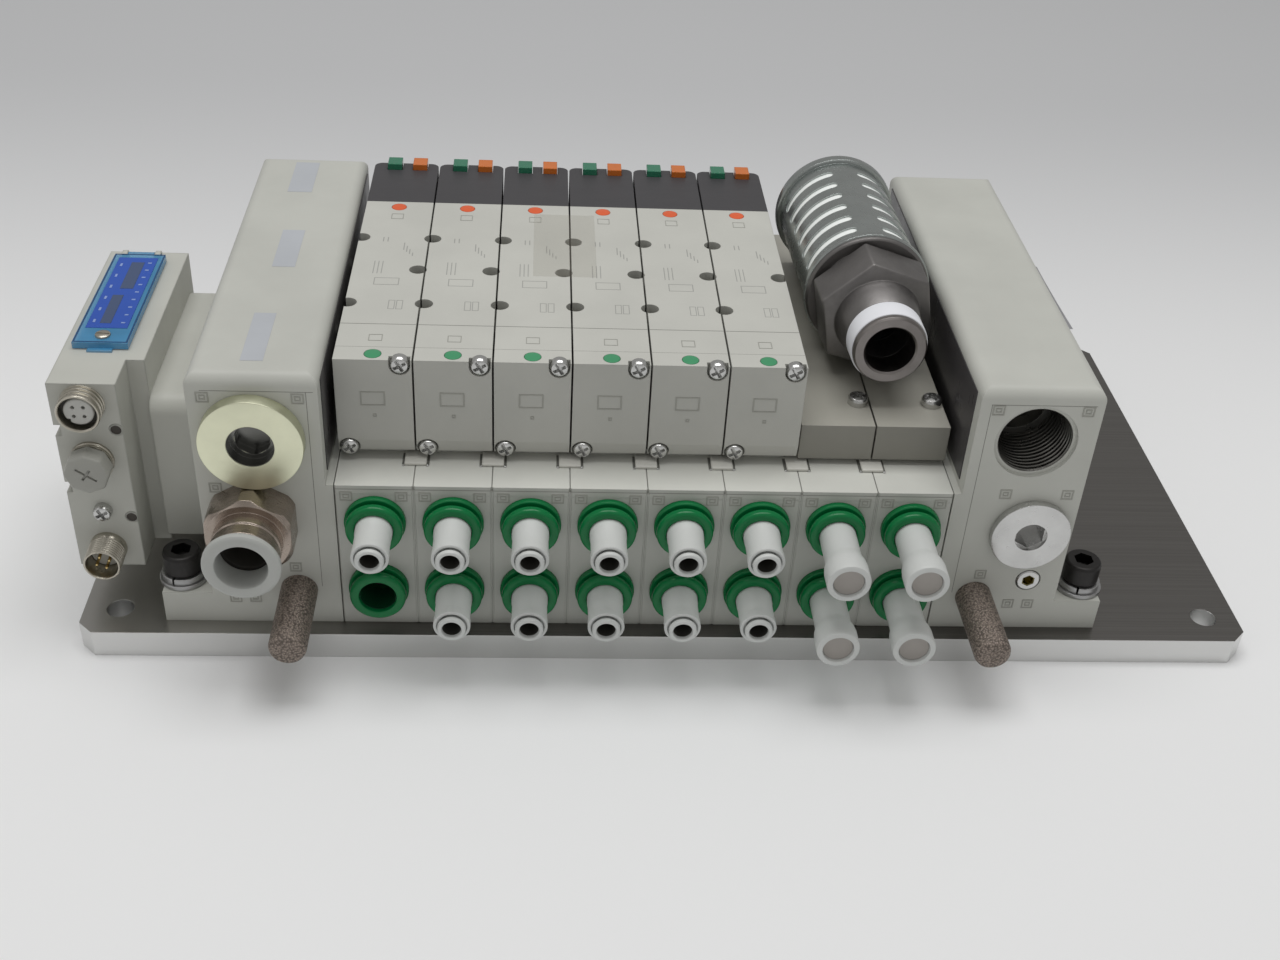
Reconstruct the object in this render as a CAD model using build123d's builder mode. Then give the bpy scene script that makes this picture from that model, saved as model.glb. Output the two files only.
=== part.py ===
"""Pneumatic valve island: eight-station manifold on a base plate, with six valves and a fieldbus unit.

Millimetres, +Z up. The origin is the centre of the base plate's four-hole pattern, on its underside.
Station sizes are measured from the left side of station 1 (x), the manifold's front face (y,
towards the back) and the plate's underside (z).
"""
from build123d import *
from math import cos, radians, sin
import os

# Base plate
plate_length = 400.0
plate_width = 200.0
plate_thickness = 10.0
plate_corner = 5.0
plate_hole_r = 4.5
plate_hole_inset_x = 12.0
plate_hole_inset_y = 12.5

# Manifold blocks
stations = 8
valve_stations = 6
pitch = 25.0
block_gap = 0.3
block_edge = 0.4
manifold_inset_x = 87.3
manifold_inset_y = 6.6
manifold_depth = 160.0
front_strip_height = 56.7
front_strip_depth = 20.0
valve_seat_rise = 2.3
line_groove = 0.4
line_groove_drop = 3.2

# Tube ports
lower_row_height = 15.5
row_spacing = 27.4
guide_r = 9.9
guide_flange = 2.0
guide_insert_r = 8.3
guide_insert_length = 14.0
port_clearance = 0.2
port_floor_gap = 2.0
release_r = 9.25
release_head = 2.8
release_travel = 1.0
release_stop_gap = 0.2
release_sleeve_r = 7.0
release_sleeve_length = 9.0
running_clearance = 0.08
tube_r = 6.0
tube_clearance = 0.1
small_tube_r = 3.0
reducer_reach = 20.0
reducer_edge = 0.8
reducer_bore_depth = 17.0
collar_r = 4.65
collar_reach = 2.0
collar_stem = 1.0
plug_reach = 30.0
plug_head_r = 7.1
plug_head_length = 4.0
plug_dimple_r = 4.2
plug_dimple_depth = 1.0

# Valves
valve_front = 14.6
valve_side_gap = 0.3
valve_height = 34.5
gasket_thickness = 1.0
gasket_inset = 3.0
cap_length = 22.5
cap_toe = 1.2
cap_toe_height = 4.5
valve_overhang = 2.0
cover_length = 34.4
cover_corner = 3.0
notch_r = 3.0
notch_depth = 10.0
notch_side = 1.2
notch_places = (36.4, 83.7)
notch_middle = 60.2
notch_middle_side = 2.4
button_r = 2.7
button_length = 4.2
button_proud = 0.2
button_travel = 1.2
button_slot = 0.8
button_slot_length = 3.5
button_slot_depth = 0.5
button_x = 12.4
rear_button_inset = 4.3
front_button_inset = 3.8
lamp_width = 5.4
lamp_length = 6.4
lamp_height = 5.3
lamp_sink = 3.0
lamp_gap = 0.2
lamp_overhang = 0.4
lamp_left = 8.2
lamp_right = 17.8

# Cross-head screws
screw_head_r = 3.0
screw_head_height = 3.1
screw_pocket_r = 3.4
screw_pocket_depth = 2.5
cap_screw_upper = (20.9, 1.9)
cap_screw_lower = (3.9, 1.7)
blank_screw_inset_x = 4.1
blank_screw_y = 30.3
blank_screw_r = 3.4

# Blanking plates
blank_thickness = 13.0
blank_front = 16.0
blank_back = 6.0

# Seam clips
clip_width = 7.4
clip_front = 9.5
clip_length = 8.0
clip_thickness = 1.2
clip_slot = 2.4

# End blocks
end_height = 97.0
end_width = 40.0
end_step = 2.5
end_fillet = 4.0
foot_width = 16.4
foot_depth = 18.0
foot_height = 12.0
bolt_from_front = 8.5
bolt_from_block = 10.5

# Foot bolts, M8
bolt_r = 4.0
bolt_head_r = 6.5
bolt_head_height = 8.0
bolt_socket = 6.0
bolt_socket_depth = 4.0
bolt_clearance = 0.5
bolt_thread_clearance = 0.15
bolt_in_plate = 8.0
flat_washer_r = 8.0
flat_washer = 1.6
spring_washer_r = 7.1
spring_washer = 2.2
washer_clearance = 0.4

# Hex-socket plugs: places are x from the manifold side and height above the plate
supply_plug_x = 23.6
supply_plug_height = 74.3
supply_plug_r = 16.2
supply_plug_flange = 5.0
supply_plug_shank_r = 12.0
supply_plug_socket = 14.0
exhaust_plug_x = 27.8
exhaust_plug_height = 41.5
exhaust_plug_r = 13.3
exhaust_plug_flange = 3.0
exhaust_plug_shank_r = 9.5
exhaust_plug_socket = 12.0
pilot_plug_x = 31.6
pilot_plug_height = 21.1
pilot_plug_r = 4.0
pilot_plug_socket = 4.0
plug_shank_length = 11.0
plug_socket_depth = 8.0
plug_clearance = 0.3
hole_floor_gap = 2.0

# Exhaust port, 3/4 thread
exhaust_port_x = 23.0
exhaust_port_height = 77.4
exhaust_port_r = 12.1
exhaust_port_mouth = 1.3
exhaust_port_depth = 30.0

# Supply fitting for a 16 mm tube
fitting_x = 26.0
fitting_height = 43.5
fitting_hex = 27.0
fitting_hex_round_r = 14.6
fitting_hex_length = 12.0
fitting_barrel_r = 11.0
fitting_barrel_length = 10.5
fitting_shank_r = 10.0
fitting_ring_r = 12.2
fitting_ring_head = 2.6
fitting_ring_travel = 0.9
fitting_sleeve_r = 9.2
fitting_sleeve_length = 12.0
fitting_tube_r = 8.05
fitting_bore_depth = 24.0

# Pilot silencers
pilot_silencer_r = 6.1
pilot_silencer_length = 31.0
pilot_silencer_round = 2.0
pilot_silencer_shank_r = 4.2
pilot_silencer_height = 14.0
pilot_silencer_left_x = 13.8
pilot_silencer_right_x = 13.8

# Fieldbus unit
unit_width = 27.0
unit_front_width = 21.2
unit_front = 12.5
unit_step = 14.8
unit_bottom = 23.6
unit_height = 71.4
unit_gap_x = 60.8
unit_notch = 2.0
unit_notch_height = 4.0
unit_notch_depth = 8.0
unit_notches = (54.0, 32.0)
adapter_front = 24.0
adapter_depth = 76.0
adapter_bottom = 28.0
adapter_height = 54.0
adapter_round = 6.0

# Round connectors on the unit
m12_x = 10.2
m12_shell_r = 6.9
m12_shell_wall = 1.0
m12_reach = 6.5
m12_upper = 64.2
m12_middle = 43.0
m12_lower = 7.7
m12_plug_r = 6.0
m12_plug_reach = 10.5
m12_insert_sink = 1.0
m12_insert_gap = 0.2
m12_insert_depth = 4.0
seal_cap_r = 7.3
seal_cap_length = 9.0
ground_screw_x = 10.6
ground_screw_height = 22.9
ground_screw_r = 2.9

# Display cover on the unit
display_width = 17.6
display_length = 62.7
display_x = 12.0
display_front = 20.8
display_back = 5.0
display_thickness = 2.2
display_lift = 0.3
display_hinge_r = 1.1
display_barrel = 9.0
display_pin_r = 0.7
display_pin_length = 2.2
display_ear = 2.0
display_ear_r = 1.5
display_opening = 110.0
window_depth = 5.0
window_rim = 1.5
panel_thickness = 1.5
switch_r = 3.0
switch_height = 1.6

# Exhaust silencer, lying on the blanking plates
silencer_tip_x = 178.3
silencer_tip_y = 26.8
silencer_yaw = 1.9
silencer_rest_gap = 0.3
thread_r = 12.4
thread_length = 10.0
silencer_bore_r = 8.3
neck_r = 12.9
neck_length = 11.0
neck_taper = -8.0
adaptor_hex = 36.0
adaptor_hex_length = 15.0
adaptor_waist_r = 17.0
adaptor_waist = 2.0
flange_r = 22.0
flange_thickness = 3.0
can_r = 20.5
can_wall = 1.0
can_length = 60.0
can_rim = 4.0
slot_rows = 6
slot_columns = 4
slot_width = 3.6
slot_pitch = 9.0
slot_first = 5.0
slot_sweep = 64.0
slot_turn = 45.0
element_r = 17.0
element_wall = 5.0

# Derived places
left_x = -plate_length / 2 + manifold_inset_x
front_y = -plate_width / 2 + manifold_inset_y
deck = plate_thickness
strip_top = deck + front_strip_height
seat_top = strip_top + valve_seat_rise
valve_base = seat_top + gasket_thickness
valve_top = valve_base + valve_height
lower_row = deck + lower_row_height
upper_row = lower_row + row_spacing
manifold_length = pitch * stations
body_front = valve_front + cap_length
valve_back = manifold_depth + valve_overhang
cover_front = valve_back - cover_length
body_length = cover_front - body_front
blank_length = manifold_depth - blank_front - blank_back
unit_depth = display_front + display_length + display_back
station_centres = [pitch * (station + 0.5) for station in range(stations)]
ports = {
    f"{row}_{station + 1}": (x, z)
    for row, z in (("upper", upper_row), ("lower", lower_row))
    for station, x in enumerate(station_centres)
}
open_ports = ("lower_1",)
plugged_ports = ("upper_7", "upper_8", "lower_7", "lower_8")
plugged_places = [ports[name] for name in plugged_ports]
reduced_places = [place for name, place in ports.items() if name not in plugged_ports + open_ports]
valve_width = pitch - 2 * valve_side_gap
hole_spacing_x = plate_length - 2 * plate_hole_inset_x
hole_spacing_y = plate_width - 2 * plate_hole_inset_y


def front_plane(x=0.0, z=0.0, out=0.0):
    """Plane facing the user, x from station 1 and out from the manifold's front face."""
    return Plane(origin=(left_x + x, front_y - out, z), x_dir=(1, 0, 0), z_dir=(0, -1, 0))


def side_plane(x):
    """Plane facing +X, with y from the manifold's front face and z from the plate's underside."""
    return Plane(origin=(left_x + x, front_y, 0), x_dir=(0, 1, 0), z_dir=(1, 0, 0))


def top_plane(z, x=0.0, y=0.0):
    """Plane facing up, with x and y from station 1's front left corner."""
    return Plane(origin=(left_x + x, front_y + y, z), x_dir=(1, 0, 0), z_dir=(0, 0, 1))


def save(piece, name):
    """Label a finished sub-part and write its STEP file."""
    piece.part.label = name
    export_step(piece.part, f"parts/{name}.step")


os.makedirs("parts", exist_ok=True)

# Base plate, drilled at its corners and tapped for the four foot bolts
left_bolt_x = -end_step - end_width - bolt_from_block
bolt_span_x = manifold_length - 2 * left_bolt_x
bolt_span_y = manifold_depth - 2 * bolt_from_front
bolt_centre = (manifold_length / 2, manifold_depth / 2)

with BuildPart() as base_plate:
    with BuildSketch() as plate_outline:
        Rectangle(plate_length, plate_width)
        chamfer(plate_outline.vertices(), plate_corner)
        with GridLocations(hole_spacing_x, hole_spacing_y, 2, 2):
            Circle(plate_hole_r, mode=Mode.SUBTRACT)
    extrude(amount=plate_thickness)
    with BuildSketch(top_plane(deck, *bolt_centre)):
        with GridLocations(bolt_span_x, bolt_span_y, 2, 2):
            Circle(bolt_r + bolt_thread_clearance)
    extrude(amount=-plate_thickness, mode=Mode.SUBTRACT)
save(base_plate, "base_plate")

# Manifold blocks: stepped on top, with a counterbore for each tube port
port_depth = guide_insert_length + port_floor_gap
with BuildPart() as manifold_blocks:
    for station in range(stations):
        with BuildSketch(side_plane(pitch * station + block_gap / 2)):
            with BuildLine():
                Polyline(
                    (0, deck),
                    (0, strip_top - line_groove_drop - line_groove),
                    (line_groove, strip_top - line_groove_drop - line_groove),
                    (line_groove, strip_top - line_groove_drop),
                    (0, strip_top - line_groove_drop),
                    (0, strip_top),
                    (front_strip_depth, strip_top),
                    (front_strip_depth, seat_top),
                    (manifold_depth, seat_top),
                    (manifold_depth, deck),
                    close=True,
                )
            make_face()
        extrude(amount=pitch - block_gap)
    chamfer(manifold_blocks.edges().filter_by(Axis.Z).group_by(Axis.Y)[0], block_edge)
    with BuildSketch(front_plane()):
        with Locations(*ports.values()):
            Circle(guide_insert_r + port_clearance)
    extrude(amount=-port_depth, mode=Mode.SUBTRACT)
save(manifold_blocks, "manifold_blocks")

# Sheet-metal clips that tie neighbouring blocks together along the top strip
with BuildPart() as seam_clips:
    with BuildSketch(top_plane(strip_top)):
        for seam in range(1, stations):
            with Locations((pitch * seam, clip_front + clip_length / 2)):
                Rectangle(clip_width, clip_length)
                SlotOverall(clip_width - clip_slot, clip_slot, mode=Mode.SUBTRACT)
    extrude(amount=clip_thickness)
save(seam_clips, "seam_clips")

# Port guides, pressed into the blocks and seated on their flanges
guide_bore_r = release_sleeve_r + running_clearance
with BuildPart() as port_guides:
    with BuildSketch(front_plane()):
        with Locations(*ports.values()):
            Circle(guide_r)
            Circle(guide_bore_r, mode=Mode.SUBTRACT)
    extrude(amount=guide_flange)
    with BuildSketch(front_plane()):
        with Locations(*ports.values()):
            Circle(guide_insert_r)
            Circle(guide_bore_r, mode=Mode.SUBTRACT)
    extrude(amount=-guide_insert_length)
save(port_guides, "port_guides")

# Release rings: each slides into its guide to free the tube
release_back = guide_flange + release_travel + release_stop_gap
for name, (x, z) in ports.items():
    with BuildPart() as release_ring:
        with BuildSketch(front_plane(x, z, release_back)):
            Circle(release_r)
        extrude(amount=release_head)
        chamfer(release_ring.edges().group_by(Axis.Y)[0], release_head / 4)
        with BuildSketch(front_plane(x, z, release_back)):
            Circle(release_sleeve_r)
        extrude(amount=-release_sleeve_length)
        with BuildSketch(front_plane(x, z, release_back + release_head)):
            Circle(tube_r + tube_clearance)
        extrude(amount=-release_head - release_sleeve_length, mode=Mode.SUBTRACT)
    save(release_ring, f"release_ring_{name}")

# Tube reducers with their small collars, held in the ports
shank_end = guide_insert_length - port_floor_gap
with BuildPart() as tube_reducers:
    with BuildSketch(front_plane(out=reducer_reach)):
        with Locations(*reduced_places):
            Circle(tube_r)
    extrude(amount=-reducer_reach - shank_end)
    chamfer(tube_reducers.edges().group_by(Axis.Y)[0], reducer_edge)
    with BuildSketch(front_plane(out=reducer_reach)):
        with Locations(*reduced_places):
            Circle(collar_r - collar_stem + port_clearance)
    extrude(amount=-reducer_bore_depth, mode=Mode.SUBTRACT)
    with BuildSketch(front_plane(out=reducer_reach + port_clearance)):
        with Locations(*reduced_places):
            Circle(collar_r)
            Circle(small_tube_r + tube_clearance, mode=Mode.SUBTRACT)
    extrude(amount=collar_reach - port_clearance)
    with BuildSketch(front_plane(out=reducer_reach + port_clearance)):
        with Locations(*reduced_places):
            Circle(collar_r - collar_stem)
            Circle(small_tube_r + tube_clearance, mode=Mode.SUBTRACT)
    extrude(amount=-reducer_bore_depth + port_clearance)
save(tube_reducers, "tube_reducers")

# Blanking plugs, flared towards a dimpled head
with BuildPart() as blanking_plugs:
    with BuildSketch(front_plane(out=-shank_end)):
        with Locations(*plugged_places):
            Circle(tube_r)
    extrude(amount=shank_end + release_back + release_head)
    for x, z in plugged_places:
        with BuildSketch(front_plane(x, z, release_back + release_head)):
            Circle(tube_r)
        with BuildSketch(front_plane(x, z, plug_reach - plug_head_length)):
            Circle(plug_head_r)
        loft()
    with BuildSketch(front_plane(out=plug_reach - plug_head_length)):
        with Locations(*plugged_places):
            Circle(plug_head_r)
    extrude(amount=plug_head_length)
    chamfer(blanking_plugs.edges().group_by(Axis.Y)[0], reducer_edge)
    with BuildSketch(front_plane(out=plug_reach)):
        with Locations(*plugged_places):
            Circle(plug_dimple_r)
    extrude(amount=-plug_dimple_depth, mode=Mode.SUBTRACT)
save(blanking_plugs, "blanking_plugs")

# Valves: gasket, front cap, body and pilot cover, one of each per valve station
valve_lefts = [pitch * station + valve_side_gap for station in range(valve_stations)]
valve_seams = [pitch * station for station in range(valve_stations)]
rear_button_y = cover_front - rear_button_inset
front_button_y = valve_front + front_button_inset
button_hole_depth = button_length - button_proud + button_travel + 2 * running_clearance

with BuildPart() as valve_gaskets:
    with BuildSketch(top_plane(seat_top)):
        for left in valve_lefts:
            with Locations((left + valve_width / 2, (front_strip_depth + manifold_depth) / 2)):
                Rectangle(valve_width - 2 * valve_side_gap, manifold_depth - front_strip_depth - gasket_inset)
    extrude(amount=gasket_thickness)
save(valve_gaskets, "valve_gaskets")

with BuildPart() as valve_caps:
    for left in valve_lefts:
        with BuildSketch(side_plane(left)):
            with BuildLine():
                Polyline(
                    (valve_front + cap_toe, valve_base),
                    (valve_front, valve_base + cap_toe_height),
                    (valve_front, valve_top),
                    (body_front, valve_top),
                    (body_front, valve_base),
                    close=True,
                )
            make_face()
        extrude(amount=valve_width)
    with BuildSketch(front_plane(out=-valve_front)):
        for seam in valve_seams:
            with Locations((seam + cap_screw_upper[0], valve_top - cap_screw_upper[1])):
                Circle(screw_pocket_r)
            with Locations((seam + cap_screw_upper[0], valve_top)):
                Rectangle(2 * screw_pocket_r, 2 * cap_screw_upper[1])
            with Locations((seam + cap_screw_lower[0], valve_base + cap_screw_lower[1])):
                Circle(screw_pocket_r)
    extrude(amount=-screw_pocket_depth, mode=Mode.SUBTRACT)
    with BuildSketch(top_plane(valve_top)):
        with Locations(*[(seam + button_x, front_button_y) for seam in valve_seams]):
            Circle(button_r + running_clearance)
    extrude(amount=-button_hole_depth, mode=Mode.SUBTRACT)
save(valve_caps, "valve_caps")

with BuildPart() as valve_bodies:
    with BuildSketch(top_plane(valve_base)):
        for left in valve_lefts:
            with Locations((left + valve_width / 2, body_front + body_length / 2)):
                Rectangle(valve_width, body_length)
    extrude(amount=valve_height)
    with BuildSketch(top_plane(valve_top)):
        for seam in valve_seams:
            with Locations(*[(seam + notch_side, valve_front + y) for y in notch_places]):
                Circle(notch_r)
            with Locations((seam + pitch - notch_middle_side, valve_front + notch_middle)):
                Circle(notch_r)
    extrude(amount=-notch_depth, mode=Mode.SUBTRACT)
    with BuildSketch(top_plane(valve_top)):
        with Locations(*[(seam + button_x, rear_button_y) for seam in valve_seams]):
            Circle(button_r + running_clearance)
    extrude(amount=-button_hole_depth, mode=Mode.SUBTRACT)
save(valve_bodies, "valve_bodies")

lamp_places = {"green": lamp_left, "orange": lamp_right}
lamp_y = valve_back + lamp_overhang - lamp_length / 2
with BuildPart() as pilot_covers:
    with BuildSketch(top_plane(valve_base)):
        for left in valve_lefts:
            with Locations((left + valve_width / 2, cover_front + cover_length / 2)):
                Rectangle(valve_width, cover_length)
    extrude(amount=valve_height)
    fillet(pilot_covers.edges().filter_by(Axis.Z).group_by(Axis.Y)[-1], cover_corner)
    with BuildSketch(top_plane(valve_top)):
        for seam in valve_seams:
            for lamp_x in lamp_places.values():
                with Locations((seam + lamp_x, lamp_y)):
                    Rectangle(lamp_width + 2 * lamp_gap, lamp_length + 2 * lamp_gap)
    extrude(amount=-lamp_sink, mode=Mode.SUBTRACT)
save(pilot_covers, "pilot_covers")

for colour, lamp_x in lamp_places.items():
    with BuildPart() as lamp_windows:
        with BuildSketch(top_plane(valve_top - lamp_sink)):
            with Locations(*[(seam + lamp_x, lamp_y) for seam in valve_seams]):
                Rectangle(lamp_width, lamp_length)
        extrude(amount=lamp_height)
        chamfer(lamp_windows.edges().group_by(Axis.Z)[-1], lamp_gap)
    save(lamp_windows, f"lamp_windows_{colour}")

# Manual override buttons, slotted for a screwdriver
for place, button_y in (("front", front_button_y), ("rear", rear_button_y)):
    for station, seam in enumerate(valve_seams):
        with BuildPart() as override_button:
            with BuildSketch(top_plane(valve_top + button_proud, seam + button_x, button_y)):
                Circle(button_r)
            extrude(amount=-button_length)
            with BuildSketch(top_plane(valve_top + button_proud, seam + button_x, button_y)):
                Rectangle(button_slot_length, button_slot)
            extrude(amount=-button_slot_depth, mode=Mode.SUBTRACT)
        save(override_button, f"override_{place}_{station + 1}")

# Blanking plates over the two spare stations
blank_top = seat_top + blank_thickness
with BuildPart() as blanking_plates:
    with BuildSketch(top_plane(seat_top)):
        for x in station_centres[valve_stations:]:
            with Locations((x, blank_front + blank_length / 2)):
                Rectangle(valve_width, blank_length)
    extrude(amount=blank_thickness)
save(blanking_plates, "blanking_plates")

# Fieldbus unit's front face, used by everything on it
unit_right = -unit_gap_x
unit_left = unit_right - unit_width
unit_top = unit_bottom + unit_height
unit_back = unit_front + unit_depth

# Cross-head screws: two per valve, one per blanking plate and the unit's earth screw
with BuildPart() as cross_screws:
    with BuildSketch(front_plane(out=-valve_front - screw_pocket_depth)):
        for seam in valve_seams:
            with Locations(
                (seam + cap_screw_upper[0], valve_top - cap_screw_upper[1]),
                (seam + cap_screw_lower[0], valve_base + cap_screw_lower[1]),
            ):
                Circle(screw_head_r)
    extrude(amount=screw_head_height)
    with BuildSketch(top_plane(blank_top)):
        for x in station_centres[valve_stations:]:
            with Locations((x + pitch / 2 - blank_screw_inset_x, blank_screw_y)):
                Circle(blank_screw_r)
    extrude(amount=screw_head_height)
    with BuildSketch(front_plane(unit_left + ground_screw_x, unit_bottom + ground_screw_height, -unit_front)):
        Circle(ground_screw_r)
    extrude(amount=screw_head_height)
save(cross_screws, "cross_screws")


def end_block(outer, inner, step, holes):
    """One end block: a tall housing from x = outer to inner, a low step and two bolted feet."""
    side = 1 if outer > inner else -1
    width = abs(outer - inner)
    middle = (outer + inner) / 2
    with BuildPart() as block:
        with BuildSketch(front_plane(middle, deck)):
            with Locations((0, end_height / 2)):
                Rectangle(width, end_height)
        extrude(amount=-manifold_depth)
        top_edges = block.edges().group_by(Axis.Z)[-1]
        fillet(top_edges, end_fillet)
        with BuildSketch(front_plane((inner + step) / 2, deck)):
            with Locations((0, front_strip_height / 2)):
                Rectangle(abs(inner - step), front_strip_height)
        extrude(amount=-manifold_depth)
        for y in (foot_depth / 2, manifold_depth - foot_depth / 2):
            with BuildSketch(top_plane(deck, outer + side * foot_width / 2, y)):
                Rectangle(foot_width, foot_depth)
            extrude(amount=foot_height)
        for y in (bolt_from_front, manifold_depth - bolt_from_front):
            bolt_x = left_bolt_x if side < 0 else manifold_length - left_bolt_x
            with BuildSketch(top_plane(deck, bolt_x, y)):
                Circle(bolt_r + bolt_clearance)
            extrude(amount=foot_height, mode=Mode.SUBTRACT)
        for x, z, radius, depth in holes:
            with BuildSketch(front_plane(x, z)):
                Circle(radius)
            extrude(amount=-depth, mode=Mode.SUBTRACT)
    return block


shank_hole = plug_shank_length + hole_floor_gap
supply_plug_place = (-supply_plug_x, deck + supply_plug_height)
fitting_place = (-fitting_x, deck + fitting_height)
left_silencer_place = (-pilot_silencer_left_x, deck + pilot_silencer_height)
exhaust_port_place = (manifold_length + exhaust_port_x, deck + exhaust_port_height)
exhaust_plug_place = (manifold_length + exhaust_plug_x, deck + exhaust_plug_height)
pilot_plug_place = (manifold_length + pilot_plug_x, deck + pilot_plug_height)
right_silencer_place = (manifold_length + pilot_silencer_right_x, deck + pilot_silencer_height)

left_end_block = end_block(
    -end_step - end_width, -end_step, -block_gap / 2,
    (
        (*supply_plug_place, supply_plug_shank_r + plug_clearance, shank_hole),
        (*fitting_place, fitting_shank_r + plug_clearance, shank_hole),
        (*left_silencer_place, pilot_silencer_shank_r + plug_clearance, shank_hole),
    ),
)
save(left_end_block, "left_end_block")

right_end_block = end_block(
    manifold_length + end_step + end_width, manifold_length + end_step, manifold_length + block_gap / 2,
    (
        (*exhaust_port_place, exhaust_port_r, exhaust_port_depth),
        (*exhaust_port_place, exhaust_port_r + exhaust_port_mouth, exhaust_port_mouth),
        (*exhaust_plug_place, exhaust_plug_shank_r + plug_clearance, shank_hole),
        (*pilot_plug_place, pilot_plug_r + plug_clearance, shank_hole),
        (*right_silencer_place, pilot_silencer_shank_r + plug_clearance, shank_hole),
    ),
)
save(right_end_block, "right_end_block")

# Socket-head bolts and washers at the four feet
foot_top = deck + foot_height
washer_top = foot_top + flat_washer + spring_washer
with BuildPart() as foot_bolts:
    with BuildSketch(top_plane(washer_top, *bolt_centre)):
        with GridLocations(bolt_span_x, bolt_span_y, 2, 2):
            Circle(bolt_head_r)
    extrude(amount=bolt_head_height)
    with BuildSketch(top_plane(washer_top, *bolt_centre)):
        with GridLocations(bolt_span_x, bolt_span_y, 2, 2):
            Circle(bolt_r)
    extrude(amount=deck - bolt_in_plate - washer_top)
    with BuildSketch(top_plane(washer_top + bolt_head_height, *bolt_centre)):
        with GridLocations(bolt_span_x, bolt_span_y, 2, 2):
            RegularPolygon(bolt_socket / 2, 6, major_radius=False)
    extrude(amount=-bolt_socket_depth, mode=Mode.SUBTRACT)
save(foot_bolts, "foot_bolts")

with BuildPart() as foot_washers:
    with BuildSketch(top_plane(foot_top, *bolt_centre)):
        with GridLocations(bolt_span_x, bolt_span_y, 2, 2):
            Circle(flat_washer_r)
            Circle(bolt_r + washer_clearance, mode=Mode.SUBTRACT)
    extrude(amount=flat_washer)
    with BuildSketch(top_plane(foot_top + flat_washer, *bolt_centre)):
        with GridLocations(bolt_span_x, bolt_span_y, 2, 2):
            Circle(spring_washer_r)
            Circle(bolt_r + washer_clearance, mode=Mode.SUBTRACT)
    extrude(amount=spring_washer)
save(foot_washers, "foot_washers")


def socket_plug(place, flange_radius, flange_length, shank_radius, across_flats):
    """A flanged plug with a hex socket, seated on the manifold's front face."""
    with BuildPart() as plug:
        with BuildSketch(front_plane(*place)):
            Circle(flange_radius)
        extrude(amount=flange_length)
        with BuildSketch(front_plane(*place)):
            Circle(shank_radius)
        extrude(amount=-plug_shank_length)
        with BuildSketch(front_plane(*place, flange_length)):
            RegularPolygon(across_flats / 2, 6, major_radius=False)
        extrude(amount=-plug_socket_depth, mode=Mode.SUBTRACT)
    return plug


supply_plug = socket_plug(
    supply_plug_place, supply_plug_r, supply_plug_flange, supply_plug_shank_r, supply_plug_socket
)
save(supply_plug, "supply_plug")

exhaust_plug = socket_plug(
    exhaust_plug_place, exhaust_plug_r, exhaust_plug_flange, exhaust_plug_shank_r, exhaust_plug_socket
)
with BuildPart() as hex_plugs:
    add(exhaust_plug.part)
    with BuildSketch(front_plane(*pilot_plug_place, block_edge)):
        Circle(pilot_plug_r)
        RegularPolygon(pilot_plug_socket / 2, 6, major_radius=False, mode=Mode.SUBTRACT)
    extrude(amount=-plug_shank_length)
save(hex_plugs, "hex_plugs")

# Supply fitting and its release ring
fitting_face = fitting_hex_length + fitting_barrel_length
with BuildPart() as supply_fitting:
    with BuildSketch(front_plane(*fitting_place)):
        Circle(fitting_hex_round_r)
        RegularPolygon(fitting_hex / 2, 6, major_radius=False, mode=Mode.INTERSECT)
    extrude(amount=fitting_hex_length)
    with BuildSketch(front_plane(*fitting_place, fitting_hex_length)):
        Circle(fitting_barrel_r)
    extrude(amount=fitting_barrel_length)
    with BuildSketch(front_plane(*fitting_place)):
        Circle(fitting_shank_r)
    extrude(amount=-plug_shank_length)
    with BuildSketch(front_plane(*fitting_place, fitting_face)):
        Circle(fitting_sleeve_r + running_clearance)
    extrude(amount=-fitting_bore_depth, mode=Mode.SUBTRACT)
save(supply_fitting, "supply_fitting")

fitting_ring_back = fitting_face + fitting_ring_travel + release_stop_gap
with BuildPart() as supply_release_ring:
    with BuildSketch(front_plane(*fitting_place, fitting_ring_back)):
        Circle(fitting_ring_r)
    extrude(amount=fitting_ring_head)
    chamfer(supply_release_ring.edges().group_by(Axis.Y)[0], fitting_ring_head / 4)
    with BuildSketch(front_plane(*fitting_place, fitting_ring_back)):
        Circle(fitting_sleeve_r)
    extrude(amount=-fitting_sleeve_length)
    with BuildSketch(front_plane(*fitting_place, fitting_ring_back + fitting_ring_head)):
        Circle(fitting_tube_r)
    extrude(amount=-fitting_ring_head - fitting_sleeve_length, mode=Mode.SUBTRACT)
save(supply_release_ring, "supply_release_ring")

# Porous pilot silencers
with BuildPart() as pilot_silencers:
    with BuildSketch(front_plane()):
        with Locations(left_silencer_place, right_silencer_place):
            Circle(pilot_silencer_r)
    extrude(amount=pilot_silencer_length)
    fillet(pilot_silencers.edges().group_by(Axis.Y)[0], pilot_silencer_round)
    with BuildSketch(front_plane()):
        with Locations(left_silencer_place, right_silencer_place):
            Circle(pilot_silencer_shank_r)
    extrude(amount=-plug_shank_length)
save(pilot_silencers, "pilot_silencers")

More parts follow.
